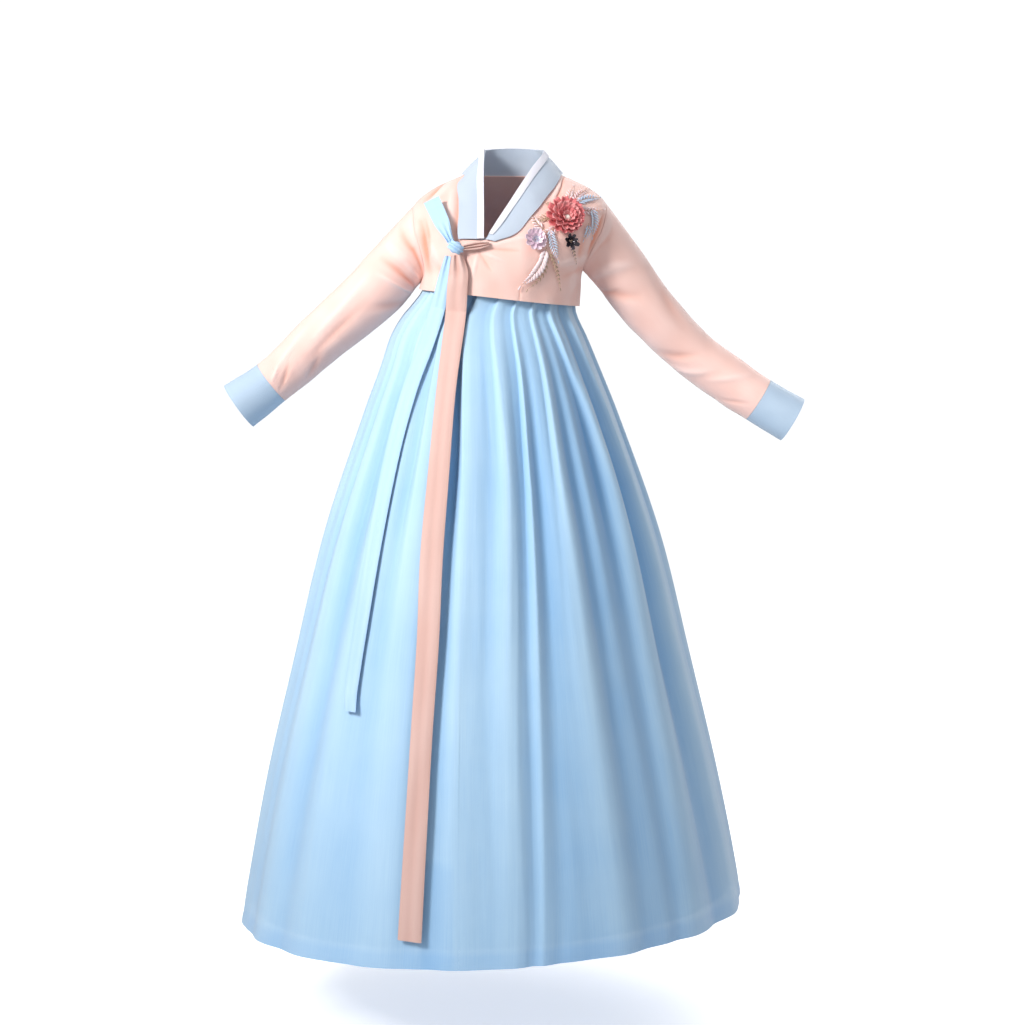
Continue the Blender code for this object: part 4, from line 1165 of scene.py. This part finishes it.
def cut_leaf(name, across, along, shape, cup, wall):
    """One petal, leaf or sequin lying along +X from the origin, one long, with its cup in Z."""
    bpy.ops.object.select_all(action="DESELECT")
    bpy.ops.mesh.primitive_grid_add(x_subdivisions=along, y_subdivisions=across, size=2)
    piece = bpy.context.object
    piece.name = name
    fold = piece.data.attributes.new("fold", "FLOAT", "POINT")
    for vertex in piece.data.vertices:
        reach, side = (vertex.co.x + 1) / 2, vertex.co.y
        half = shape(reach)
        vertex.co = (reach, side * half, cup(reach, side))
        # Painted shade towards the sewn foot and the side edges of each piece.
        fold.data[vertex.index].value = clamp(0.5 * (1 - reach) + 0.25 * abs(side))
    solidify = piece.modifiers.new("wall", "SOLIDIFY")
    solidify.thickness = wall
    solidify.offset = 0
    bpy.ops.object.modifier_apply(modifier="wall")
    return piece


def shape_bead(name, segments, rings):
    bpy.ops.object.select_all(action="DESELECT")
    bpy.ops.mesh.primitive_uv_sphere_add(segments=segments, ring_count=rings, radius=1)
    piece = bpy.context.object
    piece.name = name
    fold = piece.data.attributes.new("fold", "FLOAT", "POINT")
    for vertex in piece.data.vertices:
        # Painted shade on the side that faces the cloth, paler on the side that faces out.
        fold.data[vertex.index].value = 0.25 - 0.25 * vertex.co.z
    return piece


petal = cut_leaf(
    "petal_model", 6, 9,
    lambda reach: 0.08 + 0.36 * math.sin(math.pi * min(reach * 0.80 + 0.04, 1)),
    lambda reach, side: 0.20 * reach**2 + 0.14 * side * side * reach
    + 0.05 * reach * math.sin(side * 7 + reach * 3),
    0.030,
)
leaf = cut_leaf(
    "leaf_model", 3, 6,
    lambda reach: 0.02 + 0.09 * math.sin(math.pi * min(reach * 0.96, 1)) ** 0.8,
    lambda reach, side: 0.10 * math.sin(math.pi * reach) - 0.06 * abs(side),
    0.060,
)
bead = shape_bead("bead_model", 10, 6)
pearl = shape_bead("pearl_model", 28, 16)

Sewn = namedtuple("Sewn", "x z turn size tilt out wide")


def sew_on(name, model, places, trim, node=None):
    """Copies of one model sewn to the chest: each turned in the cloth's face, sized and tilted."""
    source = [vertex.co.copy() for vertex in model.data.vertices]
    shades = [value.value for value in model.data.attributes["fold"].data]
    faces = [tuple(polygon.vertices) for polygon in model.data.polygons]
    points, skins, depths = [], [], []
    for sewn in places:
        face_x = chest_point(sewn.x + 0.001, sewn.z, 0) - chest_point(sewn.x, sewn.z, 0)
        face_z = chest_point(sewn.x, sewn.z + 0.001, 0) - chest_point(sewn.x, sewn.z, 0)
        face_x.normalize()
        out = face_x.cross(face_z).normalized()
        face_z = out.cross(face_x)
        turn, tilt = math.radians(sewn.turn), math.radians(sewn.tilt)
        along = face_x * math.cos(turn) + face_z * math.sin(turn)
        side = out.cross(along)
        lean = along * math.cos(tilt) + out * math.sin(tilt)
        rise = lean.cross(side)
        base = chest_point(sewn.x, sewn.z, TRIM_LIFT + sewn.out)
        first = len(points)
        for co in source:
            points.append(base + (lean * co.x + side * co.y * sewn.wide + rise * co.z) * sewn.size)
        skins += [tuple(first + i for i in face) for face in faces]
        depths += shades
    mesh = bpy.data.meshes.new(name)
    mesh.from_pydata(points, [], skins)
    fold = mesh.attributes.new("fold", "FLOAT", "POINT")
    fold.data.foreach_set("value", depths)
    mesh.shade_smooth()
    piece = bpy.data.objects.new(name, mesh)
    bpy.context.scene.collection.objects.link(piece)
    mesh.materials.append(trims[trim])
    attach(piece, "root")
    if node:
        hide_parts(node)


# The rose: four rings of petals, each ring smaller, steeper and turned by half a petal, with a
# pearl in the middle and short rows of beads between the inner petals.
ROSE_X, ROSE_Z, ROSE_LIFT = 0.0905, -0.0735, 0.0010
Ring = namedtuple("Ring", "petals reach tilt start out wide")
ROSE_RINGS = (
    Ring(15, 0.0325, 5, 4, 0.0000, 0.56),
    Ring(13, 0.0270, 17, 21, 0.0012, 0.60),
    Ring(11, 0.0210, 30, 9, 0.0020, 0.66),
    Ring(9, 0.0150, 42, 33, 0.0028, 0.74),
)


def wobble(number, amount):
    """A small unevenness from one copy to the next, the same on every run."""
    return amount * math.sin(number * 12.9898 + 4.1)


def ring_places(x, z, ring, lift, inner):
    """The petals of one ring, their feet a little out from its middle, none quite like the next."""
    places = []
    for number in range(ring.petals):
        turn = ring.start + 360 * number / ring.petals + wobble(number, 9)
        foot_x = x + math.cos(math.radians(turn)) * inner
        foot_z = z + math.sin(math.radians(turn)) * inner
        size = (ring.reach - inner) * (1 + wobble(number + 3, 0.15))
        tilt = ring.tilt + wobble(number + 7, 9)
        places.append(Sewn(foot_x, foot_z, turn, size, tilt, lift + ring.out, ring.wide))
    return places


outer, middle, inner, heart = ROSE_RINGS
petals = ring_places(ROSE_X, ROSE_Z, outer, ROSE_LIFT, 0.003)
petals += ring_places(ROSE_X, ROSE_Z, inner, ROSE_LIFT, 0.003)
sew_on("rose_petals", petal, petals, "coral_ribbon", "flower_large")
petals = ring_places(ROSE_X, ROSE_Z, middle, ROSE_LIFT, 0.003)
petals += ring_places(ROSE_X, ROSE_Z, heart, ROSE_LIFT, 0.002)
sew_on("rose_inner_petals", petal, petals, "pale_coral_ribbon")
middle_pearl = Sewn(ROSE_X, ROSE_Z + 0.001, 0, 0.0056, 0, 0.0075, 1)
sew_on("rose_pearl", pearl, [middle_pearl], "pearl_bead")
beads = []
for number in range(30):
    way, ring = 2 * math.pi * number / 10, number // 10
    reach = 0.0085 + 0.0042 * ring + wobble(number, 0.0008)
    x = ROSE_X + math.cos(way + ring * 0.3) * reach
    z = ROSE_Z + math.sin(way + ring * 0.3) * reach
    beads.append(Sewn(x, z, 0, 0.00085, 0, 0.0088 - 0.0012 * ring, 1))
sew_on("rose_beads", bead, beads, "rose_silver_sequins")

# The small lilac flower, of sequins with an ice-blue heart, and the jet one below the rose.
LILAC_X, LILAC_Z = 0.0390, -0.1080
JET_X, JET_Z = 0.0960, -0.1110
SPIRAL_TURN, SPIRAL_STEP = 2.4, 0.0011
petals = ring_places(LILAC_X, LILAC_Z, Ring(11, 0.0185, 8, 12, 0.0, 0.70), 0.0008, 0.002)
petals += ring_places(LILAC_X, LILAC_Z, Ring(8, 0.0120, 26, 40, 0.0012, 0.80), 0.0008, 0.002)
sew_on("lilac_petals", petal, petals, "lilac_sequins", "flower_small")
beads = []
for number in range(18):
    way, reach = number * SPIRAL_TURN, SPIRAL_STEP * math.sqrt(number + 0.5) * 1.35
    x, z = LILAC_X + math.cos(way) * reach, LILAC_Z + math.sin(way) * reach
    beads.append(Sewn(x, z, 0, 0.0011, 0, 0.0042, 1))
sew_on("lilac_heart", bead, beads, "ice_sequins")
petals = ring_places(JET_X, JET_Z, Ring(7, 0.0140, 10, 20, 0.0, 0.62), 0.0006, 0.0015)
petals += ring_places(JET_X, JET_Z, Ring(5, 0.0080, 30, 50, 0.0010, 0.80), 0.0006, 0.001)
sew_on("jet_petals", petal, petals, "jet_sequins", "flower_dark")
beads = [Sewn(JET_X + dx, JET_Z + dz, 0, 0.0010, 0, 0.004, 1)
         for dx, dz in ((0, 0), (0.002, 0.001), (-0.002, 0.001), (0.0005, -0.002))]
sew_on("jet_heart", bead, beads, "gilt_thread")

# The plumes and sprigs: each a curved stem of small beads with leaves of sequins down both its
# sides, laid on the satin. A bent stem bows to one side by its bend.
Plume = namedtuple(
    "Plume", "name node trim x z x_tip z_tip bend leaves reach_root reach_tip splay wide"
)
PLUMES = [Plume(*row) for row in (
    ("spray_right", "spray_1", "ice_sequins",
     0.106, -0.048, 0.147, -0.038, 0.003, 8, 0.015, 0.01, 42, 1.2),
    ("plume_ice", "spray_2", "ice_sequins",
     0.131, -0.056, 0.133, -0.103, 0.003, 10, 0.015, 0.008, 40, 1.1),
    ("plume_blue", "spray_3", "ice_sequins",
     0.062, -0.09, 0.075, -0.142, -0.002, 11, 0.013, 0.008, 40, 1.1),
    ("fern_gilt", "spray_4", "gilt_thread",
     0.07, -0.074, 0.04, -0.079, -0.004, 6, 0.014, 0.009, 44, 0.8),
    ("plume_blush", "spray_5", "blush_plume",
     0.056, -0.122, 0.014, -0.184, 0.008, 13, 0.018, 0.011, 30, 1.5),
    ("twig_gilt", "spray_6", "gilt_thread",
     0.06, -0.128, 0.079, -0.188, 0.003, 9, 0.008, 0.007, 30, 1.3),
    ("stem_jet", "spray_7", "jet_sequins",
     0.097, -0.117, 0.106, -0.147, 0.001, 5, 0.007, 0.004, 40, 1.2),
    ("sprig_top", "", "blush_plume",
     0.096, -0.048, 0.102, -0.02, 0.003, 6, 0.013, 0.008, 40, 1.2),
    ("sprig_shoulder", "", "rose_silver_sequins",
     0.11, -0.058, 0.151, -0.058, -0.003, 7, 0.014, 0.008, 44, 1.2),
    ("sprig_high", "", "rose_silver_sequins",
     0.102, -0.048, 0.126, -0.023, 0.003, 7, 0.014, 0.009, 40, 1.2),
    ("sprig_lilac", "", "blush_plume",
     0.052, -0.092, 0.033, -0.066, 0.003, 6, 0.012, 0.008, 42, 1.3),
    ("fern_upper", "", "gilt_thread",
     0.07, -0.064, 0.052, -0.046, -0.004, 5, 0.012, 0.008, 44, 0.8),
    ("fern_lower", "", "rose_silver_sequins",
     0.072, -0.086, 0.049, -0.096, 0.004, 5, 0.012, 0.008, 44, 1.0),
    ("twig_blush", "", "gilt_thread",
     0.057, -0.128, 0.025, -0.19, 0.011, 9, 0.008, 0.007, 32, 1.2),
    ("plume_lower_right", "", "ice_sequins",
     0.126, -0.082, 0.118, -0.108, 0.002, 6, 0.012, 0.007, 40, 1.1),
)]
STEM_BEAD, STEM_PITCH = 0.00070, 0.0016
for plume in PLUMES:
    way_x, way_z = plume.x_tip - plume.x, plume.z_tip - plume.z
    length = math.hypot(way_x, way_z)

    def stem_at(share):
        bow = plume.bend * math.sin(math.pi * share)
        return (
            plume.x + way_x * share - way_z / length * bow,
            plume.z + way_z * share + way_x / length * bow,
        )

    heading = math.degrees(math.atan2(way_z, way_x))
    leaves = []
    for number in range(plume.leaves):
        share = (number + 0.6) / plume.leaves
        x, z = stem_at(share)
        swell = math.sin(math.pi * min(0.30 + share * 0.72, 1.0)) ** 0.6
        size = (plume.reach_root + (plume.reach_tip - plume.reach_root) * share) * swell
        bow_slope = plume.bend * math.pi * math.cos(math.pi * share)
        bow_turn = math.degrees(math.atan2(bow_slope, length))
        for side in (-1, 1):
            turn = heading + bow_turn + side * (plume.splay + wobble(number * 2 + side, 5))
            leaves.append(
                Sewn(x, z, turn, size * (1 + wobble(number + side, 0.10)), 5, 0.0003, plume.wide)
            )
    x, z = stem_at(1.0)
    leaves.append(Sewn(x, z, heading, plume.reach_tip * 0.8, 4, 0.0003, plume.wide))
    sew_on(f"{plume.name}_leaves", leaf, leaves, plume.trim, plume.node)
    count = int(length / STEM_PITCH)
    beads = [
        Sewn(*stem_at(i / count), 0, STEM_BEAD * (1.25 - 0.4 * i / count), 0, 0.0012, 1)
        for i in range(count + 1)
    ]
    trim = "gilt_thread" if plume.name != "plume_blue" else "rose_silver_sequins"
    sew_on(f"{plume.name}_stem", bead, beads, trim)
for model in (petal, leaf, bead, pearl):
    bpy.data.objects.remove(model, do_unlink=True)
